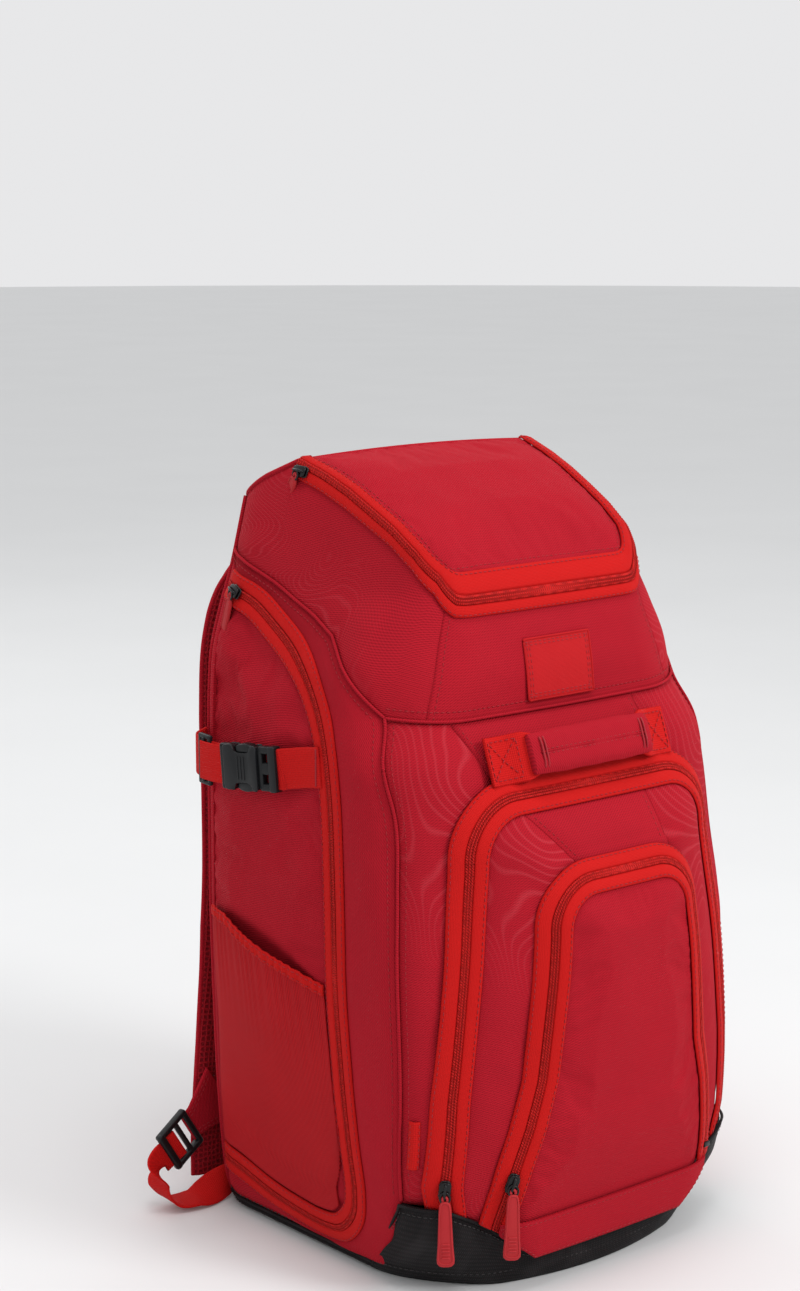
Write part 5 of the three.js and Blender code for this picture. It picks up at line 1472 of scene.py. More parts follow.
def arch_inset(arch, x, z):
    """How far a point of the front is inside a pocket's outer edge."""
    turn = arch["top"] - arch["radius"]
    turn_x = half_at(arch, turn) - arch["radius"]
    corner = arch["radius"] - np.hypot(np.abs(x) - turn_x, z - turn)
    crest = np.minimum(arch["top"] - z, arch["radius"])
    leg = half_at(arch, z) - np.abs(x)
    return np.where(z > turn, np.where(np.abs(x) > turn_x, corner, crest), leg)


def swell(inset, slope):
    return 1 - (1 - np.clip(inset / slope, 0, 1)) ** 1.6


def large_front(x, z):
    fill = between(LARGE_FILL, z / RIM_HEIGHT)
    return front_at(x, z) - 3.8 - LARGE_DEPTH * fill * swell(arch_inset(LARGE_ARCH, x, z), LARGE_SLOPE)


def small_front(x, z):
    fill = between(SMALL_FILL, z / RIM_HEIGHT)
    return large_front(x, z) - 2.6 - SMALL_DEPTH * fill * swell(arch_inset(SMALL_ARCH, x, z), SMALL_SLOPE)


def on_pocket(front, x, z, out=0.0):
    """Points on a pocket, and their outward direction."""
    step = 2.5
    y = front(x, z)
    dx = (front(x + step, z) - front(x - step, z)) / (2 * step)
    dz = (front(x, z + step) - front(x, z - step)) / (2 * step)
    n = np.stack([dx, -np.ones_like(y), dz], axis=-1)
    n /= np.linalg.norm(n, axis=-1, keepdims=True)
    return np.stack([x, y, z], axis=-1) + n * np.asarray(out)[..., None]


def leg_foot(arch, inset):
    """Where a pocket's leg meets the boot."""
    z = 40.0
    for _ in range(30):
        x = float(half_at(arch, z)) - inset
        z = 0.5 * z + 0.5 * float(between(front_view(BOOT_FRONT), x))
    return z


def arch_line(arch, inset, parts=(60, 30, 40)):
    """An arch moved inwards, from the left foot over the top to the right foot."""
    n_leg, n_turn, n_top = parts
    foot = leg_foot(arch, inset)
    radius = max(arch["radius"] - inset, 3)
    turn = arch["top"] - inset - radius
    turn_x = float(half_at(arch, arch["top"] - arch["radius"])) - inset - radius
    z = np.linspace(foot, turn, n_leg)
    leg = np.stack([half_at(arch, z) - inset, z], axis=1)
    a = np.linspace(0, math.pi / 2, n_turn)[1:]
    arc = np.stack([turn_x + radius * np.cos(a), turn + radius * np.sin(a)], axis=1)
    arc[:, 0] += (leg[-1, 0] - (turn_x + radius)) * np.cos(a)
    right = np.vstack([leg, arc])
    top = np.linspace(right[-1], right[-1] * [-1, 1], n_top)[1:-1]
    return np.vstack([right, top, right[::-1] * [-1, 1]])[::-1]


def pocket_grid(arch, inset, rows, columns):
    """Patch of x and z inside an arch, cut at the middle of its rounded corners."""
    line = arch_line(arch, inset, (rows, 24, columns))
    count = len(line)
    corner = rows + 12
    left = resample(line[:corner], rows)
    top = resample(line[corner - 1:count - corner + 1], columns)
    right = resample(line[count - corner:], rows)[::-1]
    x = np.linspace(left[0, 0], right[0, 0], columns)
    bottom = np.stack([x, between(front_view(BOOT_FRONT), np.abs(x)) - 1.0], axis=1)
    left[0], right[0] = bottom[0], bottom[-1]
    return coons(bottom, right, top, left)


def split_grid(grid, cuts):
    """Cut a grid of x and z along seams given by x at each height."""
    parts = []
    z = grid[..., 1]
    edges = [grid[:, :1, 0]] + [np.interp(z[:, :1], [c[1] for c in cut], [c[0] for c in cut])
                                for cut in cuts]
    edges.append(grid[:, -1:, 0])
    for a, b, count in zip(edges[:-1], edges[1:], (46, 64, 46)):
        u = np.linspace(0, 1, count)[None, :]
        x = a + (b - a) * u
        rows = [np.interp(xr, gx, gz) for xr, gx, gz in zip(x, grid[..., 0], grid[..., 1])]
        parts.append(np.stack([x, np.array(rows)], axis=-1))
    return parts


def front_pockets(s):
    grid = pocket_grid(LARGE_ARCH, BAND - 1.0, 96, 76)
    seam_left = [(-60, 0), (-52, 150), (-30, 300), (-41, 316), (-87, 359), (-92, 380)]
    seam_right = [(70, 0), (66, 200), (58, 298), (45, 360), (44, 380)]
    made = []
    for k, piece in enumerate(split_grid(grid, [seam_left, seam_right])):
        p = on_pocket(large_front, piece[..., 0], piece[..., 1])
        p = puff(p, 1.5, -1.3, 10.0)
        made.append(ripple(p, 42, 1.3, 51.0 + k))
    sheet_piece("large_pocket_printed", [made[0], made[2]], "printed", 2.4, ["large_pocket"],
                "printed_twill")
    sheet_piece("large_pocket_middle", [made[1]], "twill", 2.4, (), "twill")
    sew_grid_edge(made[1], "l", 5.0)
    sew_grid_edge(made[1], "r", 5.0)
    grid = pocket_grid(SMALL_ARCH, BAND - 1.0, 110, 76)
    p = on_pocket(small_front, grid[..., 0], grid[..., 1])
    p = puff(p, 1.2, -1.3, 14.0)
    p = settle(p, s.pocket_pressure, 0.014, 4.0)
    p = ripple(p, 62, 1.8, 61.0)
    # flat behind the band across its foot
    rest = small_front(p[..., 0], p[..., 2])
    room = np.clip((p[..., 2] - 64) / 7, 0.3, 6.0)
    p[..., 1] = np.maximum(p[..., 1], rest - room)
    sheet_piece("small_pocket_cloth", [p], "twill", 2.4, ["small_pocket"], "twill")
    for name, arch, front in (("large_pocket_zip", LARGE_ARCH, large_front),
                              ("small_pocket_zip", SMALL_ARCH, small_front)):
        insets = np.arange(-1, 26, 1.0)
        table = np.array([resample(arch_line(arch, i), 700) for i in insets])
        share = np.linspace(0, 1, 700)

        def place(q, across, height, table=table, front=front):
            k = np.clip(11.5 + across + 1, 0, len(table) - 1.001)
            i = int(k)
            line = table[i] * (1 - (k - i)) + table[i + 1] * (k - i)
            x, z = (np.interp(q, share, line[:, j]) for j in range(2))
            return on_pocket(front, x, z, np.full(len(x), height + 1.0))

        band_piece(name, place, 240, name)
    # the band across the front below the pockets
    lower_band(s)


def lower_band(s):
    z = np.linspace(0.043, 0.097, 18) * RIM_HEIGHT
    half = np.interp(z / RIM_HEIGHT, [a for a, _ in BAND_SHAPE], [b for _, b in BAND_SHAPE]) * HALF_WIDTH
    u = np.linspace(-1, 1, 90)
    x = half[:, None] * u[None]
    zz = np.broadcast_to(z[:, None], x.shape)
    boot_y = np.array([[np.interp(abs(a), boot_skin.row(c)[:end_of_front()][:, 0],
                                  boot_skin.row(c)[:end_of_front()][:, 1])
                        for a in row] for row, c in zip(x, z)])
    y = np.minimum(small_front(x, zz), boot_y) - 4.2
    p = np.stack([x, y, zz], axis=-1)
    p = puff(p, 0.9, -0.3, 4.0)
    sheet_piece("lower_band_cloth", [p], "twill", 2.0, ["lower_band"], "twill")
    for side in "lrbt":
        sew_grid_edge(p, side, 2.6)


def end_of_front():
    return OUTLINE_RUNS[0] + OUTLINE_RUNS[1] + 1


# Sliders and pulls

def slider_parts(at, along, out, hang, length=56.0, lift=0.0):
    """Metal slider body, its bridge and the ring, then the rubber tongue."""
    at, along, out, hang = (np.asarray(v, float) for v in (at, along, out, hang))
    along = along / np.linalg.norm(along)
    out = out - along * np.dot(out, along)
    out /= np.linalg.norm(out)
    hang = hang / np.linalg.norm(hang)
    place = placing(at + out * (1.6 + lift), along, out)
    body = np.array([[-3.4, -7.5], [3.4, -7.5], [4.5, -4.5], [4.3, 1.0], [4.5, 4.0], [3.0, 7.2], [0, 7.6],
                     [-3.0, 7.2], [-4.5, 4.0], [-4.3, 1.0], [-4.5, -4.5]])
    metal = [block(body, 1.5, 0.6, place), block(body * 0.92, 1.4, 0.6, shifted(place, 0, 0, 2.4)),
             block(rounded_outline(2.0, 9.0, 0.8), 1.4, 0.3, shifted(place, 0, 0, 1.2))]
    bridge = np.array([[0, -5.4, 3.4], [0, -4.6, 4.9], [0, -2.0, 5.6], [0, 2.0, 5.6], [0, 4.6, 4.9],
                       [0, 5.4, 3.4]])
    metal.append(tube(place(smooth_path(bridge, 22)), 1.05, 8))
    root = place(np.array([[0, 0, 5.0]]))[0]
    side = np.cross(hang, out)
    side /= np.linalg.norm(side)
    face = np.cross(side, hang)
    if np.dot(face, out) < 0:
        face = -face
    ring = [root + side * (3.6 * math.sin(a)) + hang * (4.0 - 4.0 * math.cos(a)) for a in
            np.linspace(0, 2 * math.pi, 25)[:-1]]
    ring = np.array(ring + ring[:2])
    metal.append(tube(ring, 0.8, 8))
    tongue_place = placing(root + hang * 6.5 - face * 1.4, -hang, face)
    half = [(0, 2.6), (-3, 4.0), (-8, 4.6), (-16, 4.9), (-length * 0.6, 5.6), (-length + 12, 6.4),
            (-length + 9, 6.2),
            (-length + 7, 4.4), (-length + 6.4, 2.0)]
    outline = np.array([(w, y) for y, w in half] + [(-w, y) for y, w in half[::-1]])
    outline = outline[::-1]
    rubber = [block(outline, 2.4, 0.7, tongue_place)]
    # raised border and grip ribs on the face
    inner = outline * [0.80, 0.92] + [0, -1.4]
    border = tongue_place(np.column_stack([inner, np.full(len(inner), 2.45)]))
    border = smooth_path(border, 90, closed=True)
    rubber.append(tube(border, 0.42, 6))
    for k in range(5):
        y = -length + 13.5 + k * 2.6
        bar = tongue_place(np.array([[-3.0, y, 2.5], [0, y, 2.6], [3.0, y, 2.5]]))
        rubber.append(tube(resample(bar, 6), 0.5, 6))
    loop = tongue_place(np.array([[-1.8, 0.5, 1.2], [-1.4, 2.6, 1.2], [0, 3.6, 1.2], [1.4, 2.6, 1.2],
                                  [1.8, 0.5, 1.2]]))
    rubber.append(tube(smooth_path(loop, 16), 1.1, 8))
    return metal, rubber


def add_slider(name, metal, rubber, mirror=False, sign=1):
    if mirror:
        both_objects(name + "_slider_casting", metal, "metal", "slider_metal", name + "_slider")
        both_objects(name + "_pull_tongue", rubber, "rubber", "pull_rubber", name + "_pull")
        return
    for ending, parts, material, slot in (("slider", metal, "metal", "slider_metal"),
                                          ("pull", rubber, "rubber", "pull_rubber")):
        points, faces, uvs = join_parts(parts)
        if sign < 0:
            points = points * np.array([-1, 1, 1])
            faces = [face[::-1] for face in faces]
        finish = "casting" if ending == "slider" else "tongue"
        piece = add_object(f"{name}_{ending}_{finish}", points, faces, material, uvs, slot=slot)
        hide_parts(f"{name}_{ending}")


def sliders(s):
    spot = side_view([[0.690, 0.8305]])[0]
    ahead = side_view([[0.815, 0.838]])[0]
    at, along = on_side(spot[None])[0], on_side(ahead[None])[0] - on_side(spot[None])[0]
    out = on_side(spot[None], 1.0)[0] - at
    add_slider("side_door", *slider_parts(at, along, out, [0.0, 0.30, -0.94]), mirror=True)
    y = 0.41 * REAR_DEPTH
    z = rim_at(y) - LID_WALL / 2
    at = on_side(np.array([[y, z]]))[0]
    out = on_side(np.array([[y, z]]), 1.0)[0] - at
    add_slider("lid", *slider_parts(at, [0, 1, 0.05], out, [0.0, 0.50, -0.86]), sign=-1)
    for name, arch, front, level, lean in (("large_pocket", LARGE_ARCH, large_front, 0.150, 0.02),
                                           ("small_pocket", SMALL_ARCH, small_front, 0.154, -0.02)):
        z = level * RIM_HEIGHT
        x = np.array([-(half_at(arch, z) - BAND / 2)])
        above = np.array([-(half_at(arch, z + 30) - BAND / 2)])
        low = on_pocket(front, x, np.array([z]))[0]
        high = on_pocket(front, above, np.array([z + 30.0]))[0]
        out = on_pocket(front, x, np.array([z]), np.array([1.0]))[0] - low
        add_slider(name, *slider_parts(low, high - low, out, [lean, 0, -1]))
    # the stop at the end of the small pocket's tape opposite its free end
    z = 0.115 * RIM_HEIGHT
    x = float(half_at(SMALL_ARCH, z)) - BAND / 2
    stop = on_pocket(small_front, np.array([x]), np.array([z]))[0]
    place = placing(stop + np.array([0, -2.2, 0]), [0, 0, 1], [0.2, -1, 0])
    piece = block(rounded_outline(7, 4, 0.8), 1.8, 0.5, place)
    add_object("small_pocket_zip_stop", piece[0], piece[1], "metal", piece[2], slot="slider_metal")


# Haul handle, patch and tab

def handle_frame():
    low = np.array([float(front_at(0, HANDLE_HEIGHT - 18)), HANDLE_HEIGHT - 18])
    high = np.array([float(front_at(0, HANDLE_HEIGHT + 18)), HANDLE_HEIGHT + 18])
    out = np.array([0, low[1] - high[1], high[0] - low[0]])
    out /= np.linalg.norm(out)
    return out, np.cross([1, 0, 0], out)


def on_handle(x, standoff):
    out, _ = handle_frame()
    x = np.asarray(x, float)
    base = np.stack([x, front_at(x, np.full(x.shape, HANDLE_HEIGHT)), np.full(x.shape, HANDLE_HEIGHT)],
                    axis=-1)
    return base + out * np.asarray(standoff)[..., None]


def haul_handle(s):
    out, down = handle_frame()
    shares = np.array([-1, -0.82, -0.68, -0.5, 0, 0.5, 0.68, 0.82, 1])
    offs = np.array([6.0, 6.4, 12.75, 17, 17, 17, 12.75, 6.4, 6.0])
    path = smooth_path(on_handle(shares * HANDLE_HALF, offs), 160)
    run = lengths(path) / lengths(path)[-1]
    width = np.interp(run, [0, 0.17, 0.26, 0.74, 0.83, 1], [36, 36, 25, 25, 36, 36])
    part = ribbon(path, np.repeat([down], len(path), axis=0), width, 2.6, "webbing")
    piece = add_object("haul_handle_webbing", part[0], part[1], "webbing", part[2], slot="webbing")
    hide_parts("haul_handle")
    x = np.linspace(-GRIP_HALF, GRIP_HALF, 90)
    line = on_handle(x, np.full(90, HANDLE_STANDOFF + 0.4))
    # the cover is drawn in at its ends and creased between the tacks
    share = np.abs(x) / GRIP_HALF
    wide = 32 * (1 - 0.10 * share ** 6) - 0.8 * np.sin(x / 9.0) ** 2
    thick = 11.5 * (1 - 0.45 * share ** 8)
    part = ribbon(line, np.repeat([down], 90, axis=0), wide, thick, "padded")
    points = part[0]
    dent = np.array([noise.noise(Vector(p.tolist()) / 14.0) for p in points])
    points = points + out * (dent * 0.7)[:, None]
    piece = add_object("haul_handle_cover", points, part[1], "twill", part[2], slot="twill")
    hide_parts("haul_handle_grip")
    seam = on_handle(np.linspace(-52, 52, 80), np.full(80, HANDLE_STANDOFF + 6.1))
    for shift in (-1.6, 1.6):
        sew(seam + down * shift, np.repeat([out], 80, axis=0))
    crease = seam - out * 0.25
    add_object("haul_handle_seam", *piped([crease], 0.55, "twill", 6), slot="twill")
    tacks = []
    for end in (-1, 1):
        for k in range(2):
            x0 = end * (50.5 - 3.2 * k)
            row = on_handle(np.full(24, x0), np.full(24, HANDLE_STANDOFF + 6.0))
            row = row + down * np.linspace(-11, 11, 24)[:, None]
            row = row + out * (0.35 - 1.6 * (np.linspace(-1, 1, 24) ** 4))[:, None]
            tacks.append(row)
        # box stitch that fixes the webbing to the panel
        corner = [(64, -14), (86, -14), (86, 14), (64, 14), (64, -14), (86, 14), (86, -14), (64, 14)]
        xs = np.array([c[0] * end for c in corner], float)
        ys = np.array([c[1] for c in corner], float)
        flat = resample(np.column_stack([xs, ys]), 220)
        lift = np.interp(np.abs(flat[:, 0]), [59.8, 72.2, 88], [12.75, 6.4, 6.0]) + 1.7
        sew(on_handle(flat[:, 0], lift) + down * flat[:, 1:2], np.repeat([out], 220, axis=0))
    add_object("haul_handle_tacks", *piped(tacks, 0.75, "thread", 6), slot="webbing")


def front_sheet(half_x, z0, z1, rows, columns, lift):
    """A sheet that lies on the front wall."""
    x = np.linspace(-half_x, half_x, columns)[None, :]
    z = np.linspace(z0, z1, rows)[:, None]
    x, z = np.broadcast_arrays(x, z)
    flat = np.stack([x, z], axis=-1)
    return on_front(flat, np.full(x.shape, lift))


def patch_and_tab(s):
    p = front_sheet(PATCH_SIZE[0] / 2, PATCH_HEIGHT - 22, PATCH_HEIGHT + 22, 30, 44, 3.2)
    p = puff(p, 0.5, -0.2, 3.0)
    sheet_piece("patch_cloth", [p], "patch", 1.4, ["patch"], "patch_cloth")
    for side in "lrbt":
        sew_grid_edge(p, side, 2.4)
        sew_grid_edge(p, side, 4.6)
    border = np.vstack([p[0], p[1:, -1], p[-1, ::-1][1:], p[::-1, 0][1:]])
    add_object("patch_border", *piped([resample(border, 150)], 0.8, "patch", 6), slot="patch_cloth")
    edge = -float(half_at(LARGE_ARCH, 120)) - 1.5
    xs = np.linspace(edge - 5.4, edge, 10)
    zs = np.linspace(102, 138, 30)
    x, z = np.meshgrid(xs, zs)
    fold = 1.4 + 1.6 * np.sin(np.clip((x - xs[0]) / 5.4, 0, 1) * math.pi)
    p = on_front(np.stack([x, z], axis=-1), 0.6 + fold)
    sheet_piece("corner_tab_webbing", [p], "webbing", 1.3, ["corner_tab"], "webbing")
    for k in (1, 8):
        line = p[:, k] + np.array([0, -0.2, 0])
        sew(line, np.repeat([[0, -1.0, 0]], len(line), axis=0))


# Back, sleeves and straps

def back_and_sleeves(s):
    z = np.linspace(9.8, 560, 60)
    right_t = skin.t_at_y(np.full(60, BACK_SEAM * REAR_DEPTH), z)
    grids = []
    for sign in (1, -1):
        a = right_t if sign > 0 else np.full(60, -1.0)
        b = np.full(60, 1.0) if sign > 0 else -right_t
        u = np.linspace(0, 1, 60)[None, :]
        t = a[:, None] + (b - a)[:, None] * u
        top = top_line(np.abs(t[-1]), 0.4)
        share = ((z - z[0]) / (z[-1] - z[0]))[:, None]
        zz = z[0] + (top - z[0])[None] * share
        p = skin.flat(t, zz)
        grids.append(p)
    p = np.concatenate([grids[0][:, :-1], grids[1]], axis=1)
    p = ripple(puff(p, 0.2, -1.4, 8.0), 60, 0.4, 71.0)
    sheet_piece("back_panel_cloth", [p], "twill", 2.6, ["back_panel"], "twill")
    seam = on_side(np.stack([np.full(90, BACK_SEAM * REAR_DEPTH), np.linspace(10, 557, 90)], axis=1), 0.8)
    both_objects("back_piping", [tube(seam, 1.6, 8)], "twill", "twill")
    sew_grid_edge(p, "l", 6.0)
    sew_grid_edge(p, "r", 6.0)
    # wall between the bats and the main compartment, and the divider between the two sleeves
    z = np.linspace(3.6, 586.5, 70)
    half = np.array([np.interp(SLEEVE_WALL_Y, skin.row(c)[OUTLINE_RUNS[0] + OUTLINE_RUNS[1]:, 1][:44],
                               skin.row(c)[OUTLINE_RUNS[0] + OUTLINE_RUNS[1]:, 0][:44]) for c in z]) - 8.0
    u = np.linspace(1, -1, 40)
    x = half[:, None] * u[None]
    zz = np.broadcast_to(z[:, None], x.shape)
    p = np.stack([x, np.full(x.shape, 61.6), zz], axis=-1)
    p = ripple(p, 70, 0.5, 81.0)
    sheet_piece("bat_sleeve_wall_lining", [p], "lining", 2.2, ["bat_sleeve_wall"], "lining")
    add_object("bat_sleeve_wall_binding", *piped([p[-1] + np.array([0, -1.0, 0])], 2.0, "twill"),
               slot="lining")
    y = np.linspace(62.6, 130.4, 14)
    low = np.full(14, 3.6)
    high = np.interp(y, [62.6, 130.4], [0.94 * RIM_HEIGHT, 0.90 * RIM_HEIGHT])
    share = np.linspace(0, 1, 40)[:, None]
    zz = low + (high - low) * share
    yy = np.broadcast_to(y[None], zz.shape)
    p = np.stack([np.full(zz.shape, 1.1), yy, zz], axis=-1)
    sheet_piece("bat_sleeve_divider_lining", [p], "lining", 2.2, ["bat_sleeve_divider"], "lining")
    add_object("bat_sleeve_divider_binding", *piped([p[-1] - np.array([1.1, 0, 0])], 1.5, "twill"),
               slot="lining")


def back_pad(s):
    width, thick, height = BACK_PAD
    line = rounded_outline(width - 2.4, height - 2.4, 27, 12)
    line = line + [0, BACK_PAD_FOOT + height / 2]
    q = len(line) // 4
    loop = np.vstack([line, line[:1]])
    # four corners at the middles of the rounded corners, in the order bottom, right, top, left
    mid = [q // 2, q + q // 2, 2 * q + q // 2, 3 * q + q // 2]
    top = resample(loop[mid[0]:mid[1] + 1], 76)[::-1]
    left = resample(loop[mid[1]:mid[2] + 1], 100)[::-1]
    bottom = resample(loop[mid[2]:mid[3] + 1], 76)
    right = resample(np.vstack([loop[mid[3]:-1], loop[:mid[0] + 1]]), 100)
    grid = coons(bottom, right, top, left)
    grid = grid[:, ::-1]  # faces the wearer
    x, z = grid[..., 0], grid[..., 1]
    flat = np.stack([x, np.full(x.shape, REAR_DEPTH + 2.2), z], axis=-1)
    d = edge_distance(flat)
    rise = (thick - 3.2) * (1 - np.exp(-(d / 9.0) ** 1.3))
    channel = np.exp(-(x / 7.0) ** 2)
    for level in (0.27, 0.5, 0.73):
        away = z - (BACK_PAD_FOOT + height * level) - np.abs(x) * 0.12
        channel = np.maximum(channel, np.exp(-(away / 6.0) ** 2))
    rise = rise * (1 - 0.62 * channel)
    p = flat + np.array([0, 1.0, 0]) * rise[..., None]
    p = ripple(p, 46, 0.5, 91.0)
    points, faces, uvs, rims = sheet_mesh([p], 1.9)
    base = len(p.reshape(-1, 3))
    points[base:, 1] = REAR_DEPTH + 0.5
    piece = add_object("back_pad_mesh", points, faces, "spacer", uvs, rims, "spacer_mesh")
    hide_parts("back_pad")
    border = np.vstack([p[0], p[1:, -1], p[-1, ::-1][1:], p[::-1, 0][1:]])
    add_object("back_pad_binding", *piped([resample(border, 420)], 1.7, "twill"), slot="twill")


STRAP_PATH = [
    [0.430, 1.0, 0.850, 0.0], [0.430, 22, 0.850, 0.0], [0.510, 38, 0.812, 0.2], [0.575, 43, 0.745, 0.2],
    [0.600, 43, 0.650, 0.2], [0.615, 38, 0.530, 0.2], [0.640, 33, 0.415, 0.2], [0.690, 28, 0.310, 0.2],
    [0.745, 24, 0.225, 0.2], [0.790, 20, 0.140, 0.15], [0.815, 18, 0.075, 0.1], [0.825, 17, 0.022, 0.1],
]


def behind(rows):
    return np.array([[a * HALF_WIDTH, REAR_DEPTH + b, c * RIM_HEIGHT] for a, b, c in rows])


def shoulder_straps(s):
    points = behind([row[:3] for row in STRAP_PATH])
    path = smooth_path(points, 260)
    run = lengths(path) / lengths(path)[-1]
    turn = np.interp(run, lengths(points) / lengths(points)[-1], [row[3] for row in STRAP_PATH])
    across = np.stack([np.ones(260), -turn, np.full(260, 0.12)], axis=1)
    width = 62 * np.interp(run, [0, 0.15, 0.62, 0.8, 1], [0.82, 1, 1, 0.82, 0.74])
    tangent = np.gradient(path, axis=0)
    tangent /= np.linalg.norm(tangent, axis=1, keepdims=True)
    side = across - tangent * np.sum(across * tangent, axis=1, keepdims=True)
    side /= np.linalg.norm(side, axis=1, keepdims=True)
    away = np.cross(tangent, side)
    if away[130, 1] < 0:
        away = -away
    outer = ribbon(path + away * 1.2, across, width - 1.0, 8.2, "padded")
    inner = ribbon(path - away * 1.6, across, width - 3.0, 7.4, "padded")
    both_objects("shoulder_strap_pad", [outer], "twill", "twill", "shoulder_strap")
    both_objects("shoulder_strap_mesh", [inner], "spacer", "spacer_mesh")
    half = (width / 2 - 1.2)[:, None]
    both_objects("shoulder_strap_binding",
                 [tube(path + side * half, 2.0, 8), tube(path - side * half, 2.0, 8)],
                 "twill", "twill")
    for edge in (-1, 1):
        line = path + side * (half - 6.0) * edge + away * 4.7
        sew_both(line, away)
    # wing that carries the ladder lock
    root = np.array([0.80 * HALF_WIDTH, REAR_DEPTH + 11.8, 0.135 * RIM_HEIGHT])
    lock_at = np.array([1.070 * HALF_WIDTH, REAR_DEPTH + 5.0, 0.088 * RIM_HEIGHT])
    way = (lock_at - root) / np.linalg.norm(lock_at - root)
    face = np.array([0, -1.0, 0]) + way * way[1]
    face /= np.linalg.norm(face)
    wing_side = np.cross(way, face)
    end = lock_at - way * 11.0
    line = np.linspace(root, end, 30)
    wide = np.interp(np.linspace(0, 1, 30), [0, 0.75, 1], [52.5, 27.5, 24.5])
    sides = np.repeat([wing_side], 30, axis=0)
    both_objects("strap_wing_cloth", [ribbon(line, sides, wide, 2.6, "webbing")], "twill", "twill",
                 "strap_wing")
    for inset in (3.0, 6.0):
        for edge in (-1, 1):
            row = line + wing_side * ((wide / 2 - inset) * edge)[:, None] + face * 1.45
            sew_both(row[2:26], np.repeat([face], 24, axis=0))
    place = placing(lock_at - face * 3.5, way, face)
    lock = [
        block(rounded_outline(36, 5.0, 2.0), 6.0, 1.3, shifted(place, 0, -14.0, 0.4)),
        block(rounded_outline(36, 6.4, 2.4), 5.0, 1.3, shifted(place, 0, 13.4, 2.0)),
        block(rounded_outline(30, 4.0, 1.4), 4.0, 1.0, shifted(place, 0, -3.0, 2.6)),
        block(rounded_outline(30, 3.6, 1.4), 3.6, 1.0, shifted(place, 0, 5.4, 0.2)),
        block(rounded_outline(4.6, 32, 2.0), 6.2, 1.3, shifted(place, -15.6, 0, 0.4)),
        block(rounded_outline(4.6, 32, 2.0), 6.2, 1.3, shifted(place, 15.6, 0, 0.4)),
    ]
    both_objects("strap_ladder_lock_moulding", lock, "plastic", "buckle_plastic", "strap_ladder_lock")
    rows = behind([[1.205, 1, 0.034], [1.150, -3, 0.012], [1.040, -7, 0.010], [0.940, -9, 0.018],
                   [0.842, -9, 0.026]])
    first = lock_at + way * 17.3
    points = np.vstack([lock_at + way * 2.0 + face * 2.0, first, first + way * 8, rows])
    path = smooth_path(points, 120)
    run = lengths(path) / lengths(path)[-1]
    knots = lengths(points) / lengths(points)[-1]
    dirs = np.array([wing_side, wing_side, wing_side, [0.2, 0.95, 0.3], [0, 1, 0.05], [0, 1, 0.1],
                     [0, 0.6, 0.8],
                     [0, 0, 1]])
    across = np.stack([np.interp(run, knots, dirs[:, k]) for k in range(3)], axis=1)
    both_objects("strap_webbing_band", [ribbon(path, across, 25.0, 2.0, "webbing")], "webbing", "webbing",
                 "strap_webbing")


def stitching(s):
    for name, rows, material in (("seam_stitches", SEAM_ROWS, "thread"),
                                 ("boot_stitches", DARK_ROWS, "dark_thread")):
        parts = []
        for path, out in rows:
            parts += stitches(path, out)
        if not parts:
            continue
        points, faces, uvs = join_parts(parts)
        add_object(name, points, faces, material, uvs, slot="twill")


def stage(s):
    floor_material, node = new_material("painted_studio_floor")
    place = node("TexCoord", give="Object")
    mottle = node("TexNoise", {"Vector": place, "Scale": 3.0, "Detail": 4.0})
    colour = node("Mix", {0: mottle, 6: linear("#dcdddd"), 7: linear("#e1e2e2")}, 2, data_type="RGBA")
    surface = node("BsdfPrincipled", {"Base Color": colour, "Roughness": 0.85, "IOR": 1.45})
    node("OutputMaterial", {"Surface": surface})
    mesh = bpy.data.meshes.new("studio_floor")
    a = np.linspace(0, 2 * math.pi, 97)[:-1]
    mesh.from_pydata([(14 * math.cos(v), 14 * math.sin(v), 0.0) for v in a], [], [list(range(96))])
    mesh.materials.append(floor_material)
    floor = bpy.data.objects.new("studio_floor", mesh)
    bpy.context.scene.collection.objects.link(floor)
    for name, spot, size, power, aim in (
            ("key_softbox", (0.9, -2.3, 2.0), 1.0, 40.0, (0, 0, 0.3)),
            ("top_softbox", (-0.3, -0.4, 2.8), 1.2, 20.0, (0, 0, 0.3)),
            ("rear_softbox", (0.3, 2.4, 2.0), 1.6, 10.0, (0, 0, 0.35)),
    ):
        data = bpy.data.lights.new(name, "AREA")
        data.shape = "DISK"
        data.size = size
        data.energy = power
        lamp = bpy.data.objects.new(name, data)
        lamp.location = spot
        lamp.rotation_euler = (Vector(aim) - Vector(spot)).to_track_quat("-Z", "Y").to_euler()
        bpy.context.scene.collection.objects.link(lamp)
    world = bpy.data.worlds.new("studio_surround")
    bpy.context.scene.world = world
    world.use_nodes = True
    world.node_tree.nodes["Background"].inputs[0].default_value = (0.83, 0.83, 0.84, 1.0)
    world.node_tree.nodes["Background"].inputs[1].default_value = s.surround
    # plain display colours, because the cloth is a saturated red
    bpy.context.scene.view_settings.view_transform = "Standard"
    data = bpy.data.cameras.new("photo_camera")
    data.lens = 72.64
    data.sensor_width = 36.0
    camera = bpy.data.objects.new("photo_camera", data)
    camera.location = (-1.2747, -1.4627, 0.8145)
    camera.rotation_euler = (math.radians(79.2), 0.0, math.radians(-39.49))
    bpy.context.scene.collection.objects.link(camera)
    bpy.context.scene.camera = camera


# Settings, operators and panel

